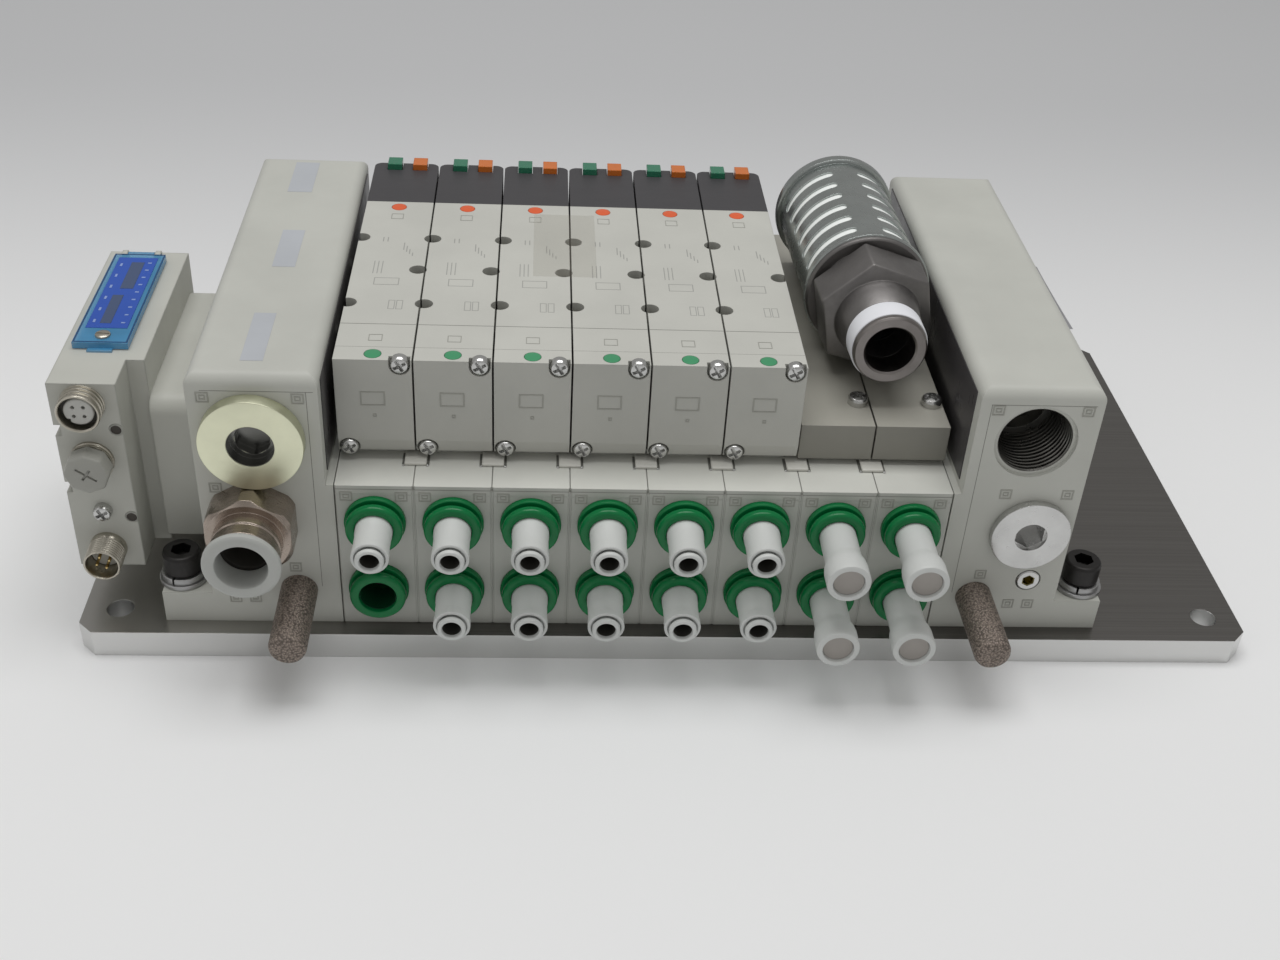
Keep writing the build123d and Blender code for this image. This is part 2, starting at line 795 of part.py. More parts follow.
# Fieldbus unit: housing with a proud front, a window well and hinge ears on top
window_x = unit_left + display_x
hinge_y = unit_front + display_front + display_length
hinge_z = unit_top + display_lift + display_hinge_r
window_centre = (window_x, unit_front + display_front + display_length / 2)
well_size = (display_width - 2 * window_rim, display_length - 6 * window_rim)
ear_offset = display_barrel / 2 + port_clearance + display_ear / 2
connector_places = {
    name: (unit_left + m12_x, unit_bottom + height)
    for name, height in (("upper", m12_upper), ("middle", m12_middle), ("lower", m12_lower))
}
with BuildPart() as interface_housing:
    with BuildSketch(top_plane(unit_bottom)):
        with Locations((unit_left + unit_front_width / 2, unit_front + unit_step / 2)):
            Rectangle(unit_front_width, unit_step)
        with Locations(((unit_left + unit_right) / 2, (unit_front + unit_step + unit_back) / 2)):
            Rectangle(unit_width, unit_depth - unit_step)
    extrude(amount=unit_height)
    for height in unit_notches:
        with BuildSketch(front_plane(unit_left, unit_bottom + height, -unit_front)):
            Rectangle(2 * unit_notch, unit_notch_height)
        extrude(amount=-unit_notch_depth, mode=Mode.SUBTRACT)
    with BuildSketch(top_plane(unit_top, *window_centre)):
        Rectangle(*well_size)
    extrude(amount=-window_depth, mode=Mode.SUBTRACT)
    with BuildSketch(top_plane(unit_top, window_x, hinge_y)):
        with Locations((-ear_offset, 0), (ear_offset, 0)):
            Rectangle(display_ear, 2 * display_ear_r)
    extrude(amount=display_lift + 2 * display_hinge_r)
    with BuildSketch(side_plane(window_x - ear_offset - display_ear)):
        with Locations((hinge_y, hinge_z)):
            Circle(display_pin_r + running_clearance)
    extrude(amount=2 * ear_offset + 2 * display_ear, mode=Mode.SUBTRACT)
save(interface_housing, "interface_housing")

with BuildPart() as switch_panel:
    with BuildSketch(top_plane(unit_top - window_depth, *window_centre)):
        Rectangle(well_size[0] - 2 * port_clearance, well_size[1] - 2 * port_clearance)
    extrude(amount=panel_thickness)
    with BuildSketch(top_plane(unit_top - window_depth + panel_thickness, *window_centre)):
        with GridLocations(0, well_size[1] / 3, 1, 2):
            Circle(switch_r)
    extrude(amount=switch_height)
save(switch_panel, "switch_panel")

with BuildPart() as display_cover:
    with BuildSketch(top_plane(unit_top + display_lift, *window_centre)):
        with Locations((0, -display_hinge_r)):
            Rectangle(display_width, display_length - 2 * display_hinge_r)
    extrude(amount=display_thickness)
    with BuildSketch(side_plane(window_x - display_barrel / 2)):
        with Locations((hinge_y, hinge_z)):
            Circle(display_hinge_r)
        with Locations((hinge_y - display_hinge_r, hinge_z)):
            Rectangle(2 * display_hinge_r, 2 * display_hinge_r)
    extrude(amount=display_barrel)
    with BuildSketch(side_plane(window_x - display_barrel / 2 - display_pin_length)):
        with Locations((hinge_y, hinge_z)):
            Circle(display_pin_r)
    extrude(amount=display_barrel + 2 * display_pin_length)
save(display_cover, "display_cover")

with BuildPart() as interface_adapter:
    adapter_right = -end_step - end_width
    with BuildSketch(top_plane(adapter_bottom, 0, adapter_front)):
        with Locations(((unit_right + adapter_right) / 2, adapter_depth / 2)):
            Rectangle(adapter_right - unit_right, adapter_depth)
    extrude(amount=adapter_height)
    fillet(interface_adapter.edges().group_by(Axis.Z)[-1].filter_by(Axis.X), adapter_round)
save(interface_adapter, "interface_adapter")

with BuildPart() as m12_shells:
    with BuildSketch(front_plane(*connector_places["upper"], -unit_front)):
        Circle(m12_shell_r)
        Circle(m12_shell_r - m12_shell_wall, mode=Mode.SUBTRACT)
    extrude(amount=m12_reach)
    with BuildSketch(front_plane(*connector_places["lower"], -unit_front)):
        Circle(m12_plug_r)
        Circle(m12_plug_r - m12_shell_wall, mode=Mode.SUBTRACT)
    extrude(amount=m12_plug_reach)
save(m12_shells, "m12_shells")

with BuildPart() as connector_plastics:
    with BuildSketch(front_plane(*connector_places["upper"], -unit_front)):
        Circle(m12_shell_r - m12_shell_wall - m12_insert_gap)
    extrude(amount=m12_reach - m12_insert_sink)
    with BuildSketch(front_plane(*connector_places["lower"], -unit_front)):
        Circle(m12_plug_r - m12_shell_wall - m12_insert_gap)
    extrude(amount=m12_insert_depth)
    with BuildSketch(front_plane(*connector_places["middle"], -unit_front)):
        RegularPolygon(seal_cap_r, 8)
    extrude(amount=seal_cap_length)
save(connector_plastics, "connector_plastics")

# Exhaust silencer: adaptor, porous element and slotted can on one axis
axis_z = blank_top + silencer_rest_gap + flange_r
axis_dir = (-sin(radians(silencer_yaw)), cos(radians(silencer_yaw)), 0)
silencer_plane = Plane(
    origin=(left_x + silencer_tip_x, front_y + silencer_tip_y, axis_z),
    x_dir=(cos(radians(silencer_yaw)), sin(radians(silencer_yaw)), 0),
    z_dir=axis_dir,
)
hex_start = thread_length + neck_length
waist_start = hex_start + adaptor_hex_length
flange_start = waist_start + adaptor_waist
can_start = flange_start + flange_thickness
with BuildPart() as silencer_adaptor:
    with BuildSketch(silencer_plane):
        Circle(thread_r)
    extrude(amount=thread_length)
    with BuildSketch(silencer_plane.offset(thread_length)):
        Circle(neck_r)
    extrude(amount=neck_length, taper=neck_taper)
    with BuildSketch(silencer_plane.offset(hex_start)):
        RegularPolygon(adaptor_hex / 2, 6, major_radius=False, rotation=30)
    extrude(amount=adaptor_hex_length)
    with BuildSketch(silencer_plane.offset(waist_start)):
        Circle(adaptor_waist_r)
    extrude(amount=adaptor_waist)
    with BuildSketch(silencer_plane.offset(flange_start)):
        Circle(flange_r)
    extrude(amount=flange_thickness)
    with BuildSketch(silencer_plane):
        Circle(silencer_bore_r)
    extrude(amount=can_start, mode=Mode.SUBTRACT)
save(silencer_adaptor, "silencer_adaptor")

with BuildPart() as silencer_can:
    with BuildSketch(silencer_plane.offset(can_start)):
        Circle(can_r)
    extrude(amount=can_length)
    with BuildSketch(silencer_plane.offset(can_start + can_length)):
        Circle(flange_r)
    extrude(amount=can_rim)
    with BuildSketch(silencer_plane.offset(can_start)):
        Circle(can_r - can_wall)
    extrude(amount=can_length, mode=Mode.SUBTRACT)
    for row in range(slot_rows):
        with BuildSketch(silencer_plane.offset(can_start + slot_first + slot_pitch * row)):
            with PolarLocations(0, slot_columns, start_angle=slot_turn):
                with BuildLine():
                    half = radians(slot_sweep / 2)
                    inner = can_r - 3 * can_wall
                    outer = (can_r + can_wall) / cos(half)
                    Polyline(
                        (inner * cos(half), -inner * sin(half)),
                        (outer * cos(half), -outer * sin(half)),
                        (outer * cos(half), outer * sin(half)),
                        (inner * cos(half), inner * sin(half)),
                        close=True,
                    )
                make_face()
        extrude(amount=slot_width, mode=Mode.SUBTRACT)
save(silencer_can, "silencer_can")

with BuildPart() as silencer_element:
    with BuildSketch(silencer_plane.offset(can_start)):
        Circle(element_r)
        Circle(element_r - element_wall, mode=Mode.SUBTRACT)
    extrude(amount=can_length)
save(silencer_element, "silencer_element")
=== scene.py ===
"""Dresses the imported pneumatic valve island: materials for the CAD nodes and detailed round parts."""
from math import cos, pi, radians, sin

import bpy
from mathutils import Matrix, Vector


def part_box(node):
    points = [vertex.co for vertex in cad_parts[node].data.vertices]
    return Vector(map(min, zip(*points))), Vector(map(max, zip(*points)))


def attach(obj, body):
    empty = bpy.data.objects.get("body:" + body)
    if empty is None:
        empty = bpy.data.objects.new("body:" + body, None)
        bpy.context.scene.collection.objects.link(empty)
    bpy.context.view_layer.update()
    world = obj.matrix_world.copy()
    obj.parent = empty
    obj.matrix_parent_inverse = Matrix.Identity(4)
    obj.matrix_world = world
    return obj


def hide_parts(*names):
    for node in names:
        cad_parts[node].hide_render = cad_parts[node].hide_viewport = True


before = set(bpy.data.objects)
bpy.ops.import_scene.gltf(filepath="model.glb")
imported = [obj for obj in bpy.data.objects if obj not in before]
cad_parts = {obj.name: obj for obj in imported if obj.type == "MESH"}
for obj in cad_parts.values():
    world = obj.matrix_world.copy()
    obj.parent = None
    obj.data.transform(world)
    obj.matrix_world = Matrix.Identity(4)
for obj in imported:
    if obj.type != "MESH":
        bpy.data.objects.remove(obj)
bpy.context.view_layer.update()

MM = 0.001
ROOT = "island"
STATIONS = 8
VALVES = 6
PITCH = 25  # a station's width in millimetres
TOWARDS = Vector((0, -1, 0))
UP = Vector((0, 0, 1))
POLE = 0.0004  # a radius so small that the end of a turned part merges into one point

# Places read from the frame
blocks_low, blocks_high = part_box("manifold_blocks")
unit_low, unit_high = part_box("interface_housing")
left_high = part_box("left_end_block")[1]
right_low, right_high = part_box("right_end_block")
LEFT = (blocks_low.x + blocks_high.x) / 2 - STATIONS * PITCH / 2 * MM
FRONT = blocks_low.y

# Faces in millimetres: heights over the ground, and depths behind the manifold's front
VALVE_TOP = 104.5
BLANK_TOP = 82.0
CAP_FRONT = 14.6
SCREW_SEAT = 17.1
UNIT_FRONT = 12.5


def place(x, y, z):
    """A point given in millimetres from station 1's left side, the manifold's front and the ground."""
    return Vector((LEFT + x * MM, FRONT + y * MM, z * MM))


def along_row(count, x, y, z, first=0):
    """The same place on each station of the row, up to the count."""
    return [place(PITCH * station + x, y, z) for station in range(first, count)]


def middle(node):
    """The middle of a CAD node's box."""
    low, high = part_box(node)
    return (low + high) / 2


# ---- Modelling helpers ----------------------------------------------------------------

def deselect():
    """Leave edit mode and select nothing."""
    if bpy.context.object and bpy.context.object.mode != "OBJECT":
        bpy.ops.object.mode_set(mode="OBJECT")
    bpy.ops.object.select_all(action="DESELECT")


def pick(*pieces):
    """Select these pieces only, the last one active."""
    deselect()
    for piece in pieces:
        piece.select_set(True)
    bpy.context.view_layer.objects.active = pieces[-1]


def settle(piece):
    """Put the piece's place and turn into its mesh."""
    pick(piece)
    bpy.ops.object.transform_apply(location=True, rotation=True, scale=True)


def bevelled(piece, width, segments=2):
    """Round the edges of a finished piece."""
    pick(piece)
    bevel = piece.modifiers.new("Edges", "BEVEL")
    bevel.width = width * MM
    bevel.segments = segments
    bevel.limit_method = "ANGLE"
    bevel.angle_limit = radians(30)
    bpy.ops.object.modifier_apply(modifier=bevel.name)


def cut(piece, cutter):
    """Cut one mesh with another and drop the cutter."""
    pick(piece)
    boolean = piece.modifiers.new("Cut", "BOOLEAN")
    boolean.object = cutter
    boolean.operation = "DIFFERENCE"
    boolean.solver = "EXACT"
    bpy.ops.object.modifier_apply(modifier=boolean.name)
    bpy.data.objects.remove(cutter)


def aim(piece, point, facing):
    """Turn a piece made along +Z so that it faces the given way, and stand it on the point."""
    turn = facing.normalized().to_track_quat("Z", "Y").to_matrix().to_4x4()
    piece.matrix_world = Matrix.Translation(point) @ turn
    settle(piece)


def outward(piece):
    """Merge doubles and point every face outwards."""
    pick(piece)
    bpy.ops.object.mode_set(mode="EDIT")
    bpy.ops.mesh.select_all(action="SELECT")
    bpy.ops.mesh.remove_doubles(threshold=1e-6)
    bpy.ops.mesh.normals_make_consistent(inside=False)
    bpy.ops.object.mode_set(mode="OBJECT")


def smooth(piece, angle=32):
    """Smooth shading, kept crisp at real edges."""
    pick(piece)
    bpy.ops.object.shade_smooth_by_angle(angle=radians(angle))


def turned(profile, segments=48):
    """A turned part along +Z. Its profile lists (radius, height) in millimetres, from end to end."""
    deselect()
    radius, height = profile[0]
    bpy.ops.mesh.primitive_circle_add(vertices=segments, radius=radius * MM, location=(0, 0, 0))
    piece = bpy.context.object
    bpy.ops.object.mode_set(mode="EDIT")
    bpy.ops.mesh.select_all(action="SELECT")
    bpy.ops.transform.translate(value=(0, 0, height * MM))
    for next_radius, next_height in profile[1:]:
        bpy.ops.mesh.extrude_region_move(
            TRANSFORM_OT_translate={"value": (0, 0, (next_height - height) * MM)}
        )
        grow = next_radius / radius
        bpy.ops.transform.resize(value=(grow, grow, 1), center_override=(0, 0, 0))
        radius, height = next_radius, next_height
    bpy.ops.object.mode_set(mode="OBJECT")
    outward(piece)
    return piece


def prism(sides, across, low, high, taper=1.0):
    """A prism along +Z with the given number of sides, measured across its flats."""
    deselect()
    corner = across / 2 / cos(pi / sides)
    bpy.ops.mesh.primitive_cone_add(
        vertices=sides, radius1=corner * MM, radius2=corner * taper * MM,
        depth=(high - low) * MM, location=(0, 0, (low + high) / 2 * MM),
    )
    piece = bpy.context.object
    settle(piece)
    return piece


def slab(size, centre, edge=0.0, segments=2):
    """A box with rounded edges; its size is in millimetres."""
    deselect()
    bpy.ops.mesh.primitive_cube_add(size=1, location=centre)
    piece = bpy.context.object
    piece.scale = [length * MM for length in size]
    settle(piece)
    if edge:
        bevelled(piece, edge, segments)
    return piece


def slabs(size, places, edge=0.0, segments=2):
    """The same box at every place, joined into one."""
    return repeated(slab(size, Vector(), edge, segments), places)


def border(width, height, line, rise):
    """A raised rectangular frame about the origin, in millimetres."""
    deselect()
    bpy.ops.mesh.primitive_plane_add(size=1)
    piece = bpy.context.object
    piece.scale = (width * MM, height * MM, 1)
    settle(piece)
    bpy.ops.object.mode_set(mode="EDIT")
    bpy.ops.mesh.select_all(action="SELECT")
    bpy.ops.mesh.inset(thickness=line * MM)
    bpy.ops.mesh.delete(type="FACE")
    bpy.ops.mesh.select_all(action="SELECT")
    bpy.ops.mesh.extrude_region_move(TRANSFORM_OT_translate={"value": (0, 0, rise * MM)})
    bpy.ops.mesh.select_all(action="SELECT")
    bpy.ops.mesh.normals_make_consistent(inside=False)
    bpy.ops.object.mode_set(mode="OBJECT")
    return piece


def copied(piece, offset):
    """A copy with its own mesh, moved by the offset."""
    pick(piece)
    bpy.ops.object.duplicate(linked=False)
    copy = bpy.context.object
    copy.location = copy.location + offset
    settle(copy)
    return copy


def repeated(piece, places):
    """A piece made at the origin, copied to every place and joined into one; it is used up."""
    parts = [copied(piece, point) for point in places]
    bpy.data.objects.remove(piece)
    return joined(*parts)


def around(piece, angles, heights):
    """Copies of a piece turned about Z and lifted, joined into one; the piece is used up."""
    parts = []
    for angle in angles:
        for height in heights:
            copy = copied(piece, Vector())
            copy.rotation_euler = (0, 0, radians(angle))
            copy.location = (0, 0, height * MM)
            settle(copy)
            parts.append(copy)
    bpy.data.objects.remove(piece)
    return joined(*parts)


def joined(*parts):
    """Several meshes as one piece."""
    pick(*parts)
    if len(parts) > 1:
        bpy.ops.object.join()
    return bpy.context.object


def finished(piece, name, finish, body=ROOT, angle=32):
    """Name the piece, give it its finish and let it ride on its body."""
    smooth(piece, angle)
    piece.name = name
    piece.data.name = name
    piece.data.materials.clear()
    piece.data.materials.append(finish)
    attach(piece, body)
    return piece


# ---- Materials ------------------------------------------------------------------------

def material(name, colour, roughness, metallic=0.0):
    """A plain material; its nodes, links and shader come with it."""
    made = bpy.data.materials.new(name)
    made.use_nodes = True
    nodes, links = made.node_tree.nodes, made.node_tree.links
    surface = nodes["Principled BSDF"]
    surface.inputs["Base Color"].default_value = (*colour, 1)
    surface.inputs["Roughness"].default_value = roughness
    surface.inputs["Metallic"].default_value = metallic
    return made, nodes, links, surface


def object_noise(nodes, links, scale, detail, stretch=(1, 1, 1)):
    """Noise on Object coordinates, stretched along the axes where asked."""
    where = nodes.new("ShaderNodeTexCoord")
    mapping = nodes.new("ShaderNodeMapping")
    mapping.inputs["Scale"].default_value = stretch
    noise = nodes.new("ShaderNodeTexNoise")
    noise.inputs["Scale"].default_value = scale
    noise.inputs["Detail"].default_value = detail
    noise.inputs["Roughness"].default_value = 0.55
    links.new(where.outputs["Object"], mapping.inputs["Vector"])
    links.new(mapping.outputs["Vector"], noise.inputs["Vector"])
    return noise.outputs["Fac"]


def one_axis(nodes, links, vector, axis):
    """One axis of a vector."""
    split = nodes.new("ShaderNodeSeparateXYZ")
    links.new(vector, split.inputs["Vector"])
    return split.outputs[axis]


def object_axis(nodes, links, axis):
    """How far along an axis of the object the surface lies."""
    where = nodes.new("ShaderNodeTexCoord")
    return one_axis(nodes, links, where.outputs["Object"], axis)


def facing_up(nodes, links):
    """How far the surface faces upwards."""
    shape = nodes.new("ShaderNodeNewGeometry")
    return one_axis(nodes, links, shape.outputs["Normal"], "Z")


def ranged(nodes, links, value, source, target=(0, 1), course="LINEAR"):
    """Carry a value from one range to another."""
    carrier = nodes.new("ShaderNodeMapRange")
    carrier.interpolation_type = course
    limits = ("From Min", "From Max", "To Min", "To Max")
    for name, limit in zip(limits, (*source, *target)):
        carrier.inputs[name].default_value = limit
    links.new(value, carrier.inputs["Value"])
    return carrier.outputs["Result"]


def toned(nodes, links, value, low, high, start, end):
    """A tone between two colours, from a value."""
    ramp = nodes.new("ShaderNodeValToRGB")
    for stop, position, colour in zip(ramp.color_ramp.elements, (start, end), (low, high)):
        stop.position = position
        stop.color = (*colour, 1)
    links.new(value, ramp.inputs["Fac"])
    return ramp.outputs["Color"]


def blended(nodes, links, factor, first, second, blend="MIX"):
    """Blend two colours, each of them a plain tone or what another node gives."""
    mix = nodes.new("ShaderNodeMix")
    mix.data_type = "RGBA"
    mix.blend_type = blend
    links.new(factor, mix.inputs["Factor"])
    for name, colour in (("A", first), ("B", second)):
        if isinstance(colour, tuple):
            mix.inputs[name].default_value = (*colour, 1)
        else:
            links.new(colour, mix.inputs[name])
    return mix.outputs["Result"]


def tint(nodes, links, surface, value, low, high, start=0.35, end=0.65):
    """Vary the colour between two tones."""
    links.new(toned(nodes, links, value, low, high, start, end), surface.inputs["Base Color"])


def spread(nodes, links, surface, value, low, high):
    """Vary the roughness between two values."""
    links.new(ranged(nodes, links, value, (0, 1), (low, high)), surface.inputs["Roughness"])


def relief(nodes, links, surface, height, distance, strength, edge):
    """Bump from a height, over softly rounded edges; distance and edge in millimetres."""
    bump = nodes.new("ShaderNodeBump")
    bump.inputs["Distance"].default_value = distance * MM
    bump.inputs["Strength"].default_value = strength
    links.new(height, bump.inputs["Height"])
    if edge:
        rounding = nodes.new("ShaderNodeBevel")
        rounding.samples = 4
        rounding.inputs["Radius"].default_value = edge * MM
        links.new(rounding.outputs["Normal"], bump.inputs["Normal"])
    links.new(bump.outputs["Normal"], surface.inputs["Normal"])


def scaled(colour, factor):
    """A lighter or darker tone of a colour."""
    return tuple(min(1.0, channel * factor) for channel in colour)


def moulded(name, colour, roughness=0.42, grain=2600, depth=0.03, edge=0.35, gloss=0.35):
    """Moulded plastic with a fine spark-eroded grain and faint handling marks."""
    made, nodes, links, surface = material(name, colour, roughness)
    surface.inputs["Specular IOR Level"].default_value = gloss
    broad = object_noise(nodes, links, 28, 5)
    tint(nodes, links, surface, broad, scaled(colour, 0.95), scaled(colour, 1.03))
    smears = object_noise(nodes, links, 60, 6, (1, 3, 1))
    spread(nodes, links, surface, smears, roughness - 0.08, roughness + 0.12)
    relief(nodes, links, surface, object_noise(nodes, links, grain, 2), depth, 0.6, edge)
    return made


def polished(name, colour, roughness, edge=0.2, gloss=0.35):
    """Small smooth mouldings: the rings, tubes and seals of the ports."""
    return moulded(name, colour, roughness, 900, 0.01, edge, gloss)


def metal(name, colour, roughness, scratch=(1, 1, 1), depth=0.01, edge=0.25, patina=0.85, scale=320):
    """Plated or turned metal with tool marks and an uneven tone."""
    made, nodes, links, surface = material(name, colour, roughness, 1.0)
    cloud = object_noise(nodes, links, 90, 6)
    tint(nodes, links, surface, cloud, scaled(colour, patina), colour, 0.3, 0.7)
    marks = object_noise(nodes, links, scale, 3, scratch)
    spread(nodes, links, surface, marks, roughness * 0.75, min(1.0, roughness * 1.35))
    relief(nodes, links, surface, marks, depth, 0.5, edge)
    return made


def painted_side_shade(made, factor):
    """Paint shade on a finish: darken it where its surface stands upright, as if lit from above."""
    nodes, links = made.node_tree.nodes, made.node_tree.links
    base = nodes["Principled BSDF"].inputs["Base Color"]
    colour = base.links[0].from_socket
    upright = ranged(nodes, links, facing_up(nodes, links), (0.2, 0.8), (1, 0))
    links.new(blended(nodes, links, upright, colour, (factor, factor, factor), "MULTIPLY"), base)
    return made


def plate_metal():
    """Brushed aluminium: dark on its broad top, with a painted reflection that pales it towards the
    left, and painted light that makes its milled edges bright.
    """
    made, nodes, links, surface = material("brushed_plate", (0.30, 0.295, 0.285), 0.3, 1.0)
    brushed = object_noise(nodes, links, 240, 5, (0.05, 6, 6))
    streaks = toned(nodes, links, brushed, (0.170, 0.163, 0.155), (0.205, 0.198, 0.188), 0.3, 0.72)
    # Painted reflection: the broad top grows paler towards the left
    painted_reflection_leftwards = ranged(nodes, links, object_axis(nodes, links, "X"), (-0.09, -0.14))
    top_with_painted_reflection = blended(nodes, links, painted_reflection_leftwards, streaks, (0.42, 0.41, 0.39))
    # Painted light: every face that does not face up gets a bright tone
    upwards = ranged(nodes, links, facing_up(nodes, links), (0.6, 0.9))
    whole = blended(nodes, links, upwards, (0.68, 0.68, 0.67), top_with_painted_reflection)
    links.new(whole, surface.inputs["Base Color"])
    spread(nodes, links, surface, brushed, 0.26, 0.36)
    relief(nodes, links, surface, brushed, 0.003, 0.4, 0.4)
    return made


def sintered(name, colour):
    """Porous sintered beads: small round grains with dark gaps, the gaps painted dark as shade and the
    crowns paler.
    """
    made, nodes, links, surface = material(name, colour, 0.5, 0.75)
    where = nodes.new("ShaderNodeTexCoord")
    beads = nodes.new("ShaderNodeTexVoronoi")
    beads.inputs["Scale"].default_value = 1450
    links.new(where.outputs["Object"], beads.inputs["Vector"])
    distance = beads.outputs["Distance"]
    # Painted shade: the gaps between the beads are darkened and their crowns lightened
    tint(nodes, links, surface, distance, scaled(colour, 1.35), scaled(colour, 0.42), 0.1, 0.75)
    crowns = nodes.new("ShaderNodeMath")
    crowns.operation = "SUBTRACT"
    crowns.inputs[0].default_value = 1.0
    links.new(distance, crowns.inputs[1])
    relief(nodes, links, surface, crowns.outputs["Value"], 0.35, 1.0, 0)
    return made


def tinted(name, colour, opacity, roughness):
    """Clear tinted plastic over what lies behind it."""
    made, nodes, links, surface = material(name, colour, roughness)
    surface.inputs["Alpha"].default_value = opacity
    surface.inputs["Coat Weight"].default_value = 0.5
    cloud = object_noise(nodes, links, 120, 3)
    tint(nodes, links, surface, cloud, scaled(colour, 0.92), colour)
    scuffs = object_noise(nodes, links, 700, 4, (1, 0.2, 1))
    spread(nodes, links, surface, scuffs, roughness, roughness + 0.12)
    relief(nodes, links, surface, scuffs, 0.004, 0.4, 0.3)
    return made


housing = moulded("housing_plastic", (0.505, 0.510, 0.470))
# Painted shade: the valves and blocks are darkened on their upright sides
housing_valve = painted_side_shade(moulded("valve_plastic", (0.530, 0.530, 0.490), 0.46), 0.88)
housing_block = painted_side_shade(moulded("block_plastic", (0.620, 0.625, 0.580)), 0.78)
unit_plastic = moulded("unit_plastic", (0.500, 0.503, 0.460), 0.42, edge=1.0)
mark_plastic = moulded("mark_plastic", (0.350, 0.350, 0.315), 0.45, edge=0.1)
# Painted shade for the pockets round the clips
pocket_shade_plastic = moulded("pocket_shade_plastic", (0.155, 0.155, 0.140), 0.5)
# Painted shade for the gaps between the blocks
seam_shadow_filling = moulded("seam_shadow_filling", (0.34, 0.34, 0.31), 0.5)
line_plastic = moulded("line_plastic", (0.200, 0.198, 0.180), 0.5, edge=0.0)
# Painted shade: the blanking plates are darkened on their upright sides
blank_plastic = painted_side_shade(moulded("blank_plate_plastic", (0.385, 0.375, 0.330), 0.36), 0.65)
clip_plastic = moulded("clip_plastic", (0.60, 0.595, 0.55), 0.28, edge=0.5)
cover_plastic = moulded("pilot_cover_plastic", (0.056, 0.054, 0.058), 0.42, depth=0.05)
panel_plastic = moulded("inner_panel_plastic", (0.050, 0.047, 0.048), 0.28, depth=0.02)
gasket_rubber = moulded("gasket_rubber", (0.012, 0.012, 0.012), 0.7)
green_plastic = polished("port_green_plastic", (0.002, 0.165, 0.046), 0.22, 0.25, 0.3)
# A darker green that paints the shade inside the ring's bore
bore_shade_green = polished("ring_bore_shade_plastic", (0.004, 0.055, 0.022), 0.4)
white_plastic = polished("tube_white_plastic", (0.60, 0.615, 0.60), 0.33, gloss=0.45)
# Painted shade for the dimples in the plug ends
recess_shade_plastic = moulded("plug_recess_shade", (0.36, 0.335, 0.31), 0.45, 900, 0.02, edge=0.2)
grey_ring_plastic = polished("release_grey_plastic", (0.43, 0.44, 0.42), 0.34, gloss=0.45)
# Rubber seals, also used as painted shade lining the bores and gaps of the ports and sockets
seal_rubber_and_bore_shade = polished("seal_rubber_and_bore_shade", (0.052, 0.050, 0.044), 0.45)
seal_plastic = moulded("seal_cap_plastic", (0.345, 0.345, 0.315), 0.40, edge=0.5)
insert_plastic = moulded("insert_plastic", (0.52, 0.52, 0.49), 0.45)
button_green = moulded("override_green_plastic", (0.055, 0.29, 0.135), 0.35, edge=0.15)
button_orange = moulded("override_orange_plastic", (0.72, 0.12, 0.038), 0.35, edge=0.15)
panel_blue = moulded("display_print", (0.022, 0.085, 0.43), 0.22, depth=0.005)
panel_grey = moulded("display_window", (0.055, 0.085, 0.17), 0.2, depth=0.005)
panel_pale = moulded("display_marks", (0.26, 0.36, 0.66), 0.3, depth=0.005)
outline_blue = moulded("display_outline", (0.012, 0.060, 0.16), 0.2, depth=0.005, edge=0.1)
panel_dark = moulded("switch_board", (0.02, 0.03, 0.06), 0.5)
lamp_green = tinted("lamp_green_plastic", (0.015, 0.19, 0.10), 0.93, 0.15)
lamp_orange = tinted("lamp_orange_plastic", (0.66, 0.16, 0.012), 0.95, 0.15)
display_blue = tinted("display_cover_plastic", (0.075, 0.34, 0.62), 0.62, 0.1)
film = tinted("film_strip", (0.46, 0.43, 0.35), 0.075, 0.2)
plate = plate_metal()
zinc = metal("zinc_plate", (0.64, 0.64, 0.63), 0.24)
yellow_zinc = metal("yellow_zinc_plate", (0.80, 0.81, 0.61), 0.32, depth=0.012, edge=0.3, patina=0.9)
washer_zinc = metal("washer_zinc", (0.42, 0.42, 0.42), 0.35)
nickel = metal("nickel_plate", (0.43, 0.365, 0.315), 0.25, (1, 12, 1), patina=0.75)
connector_nickel = metal("connector_nickel", (0.52, 0.49, 0.42), 0.28)
contact_gold = metal("contact_gold", (0.72, 0.55, 0.25), 0.25)
bolt_black = metal("black_oxide_steel", (0.055, 0.053, 0.052), 0.42, depth=0.03, patina=0.7)
cast = metal(
    "die_cast_zinc", (0.235, 0.225, 0.22), 0.46, depth=0.05, edge=0.5, patina=0.8, scale=900,
)
can_steel = metal("can_zinc_plate", (0.44, 0.47, 0.46), 0.27, edge=0.2)
nipple_metal = metal("nipple_metal", (0.26, 0.24, 0.23), 0.34, depth=0.02, edge=0.2, patina=0.8)
bronze = sintered("sintered_bronze", (0.30, 0.25, 0.215))
socket_dark = metal("socket_shadow", (0.19, 0.19, 0.18), 0.2)
socket_brass = metal("pilot_socket_shadow", (0.34, 0.29, 0.11), 0.25)
# Thread metal darkened as painted shade for the inside of the exhaust port
port_metal_in_shade = metal("port_thread_metal_in_shade", (0.22, 0.215, 0.20), 0.28, depth=0.02)
element_white = moulded("element_fibre", (0.93, 0.96, 0.94), 0.7, 700, 0.12, edge=0)
sealant_white = moulded("sealant", (0.80, 0.81, 0.85), 0.5, 800, edge=0.2)
label_silver = metal("label_foil", (0.47, 0.47, 0.49), 0.4, (3, 1, 1), 0.004, 0.1, patina=0.9)
label_paper = moulded("label_paper", (0.45, 0.47, 0.50), 0.4, 1200, 0.004, edge=0)
print_grey = moulded("print_grey", (0.33, 0.33, 0.31), 0.5, 1200, 0.002, edge=0)
# Painted shade for the screw wells in the unit's front
well_shade_plastic = moulded("well_shade_plastic", (0.060, 0.052, 0.045), 0.6)

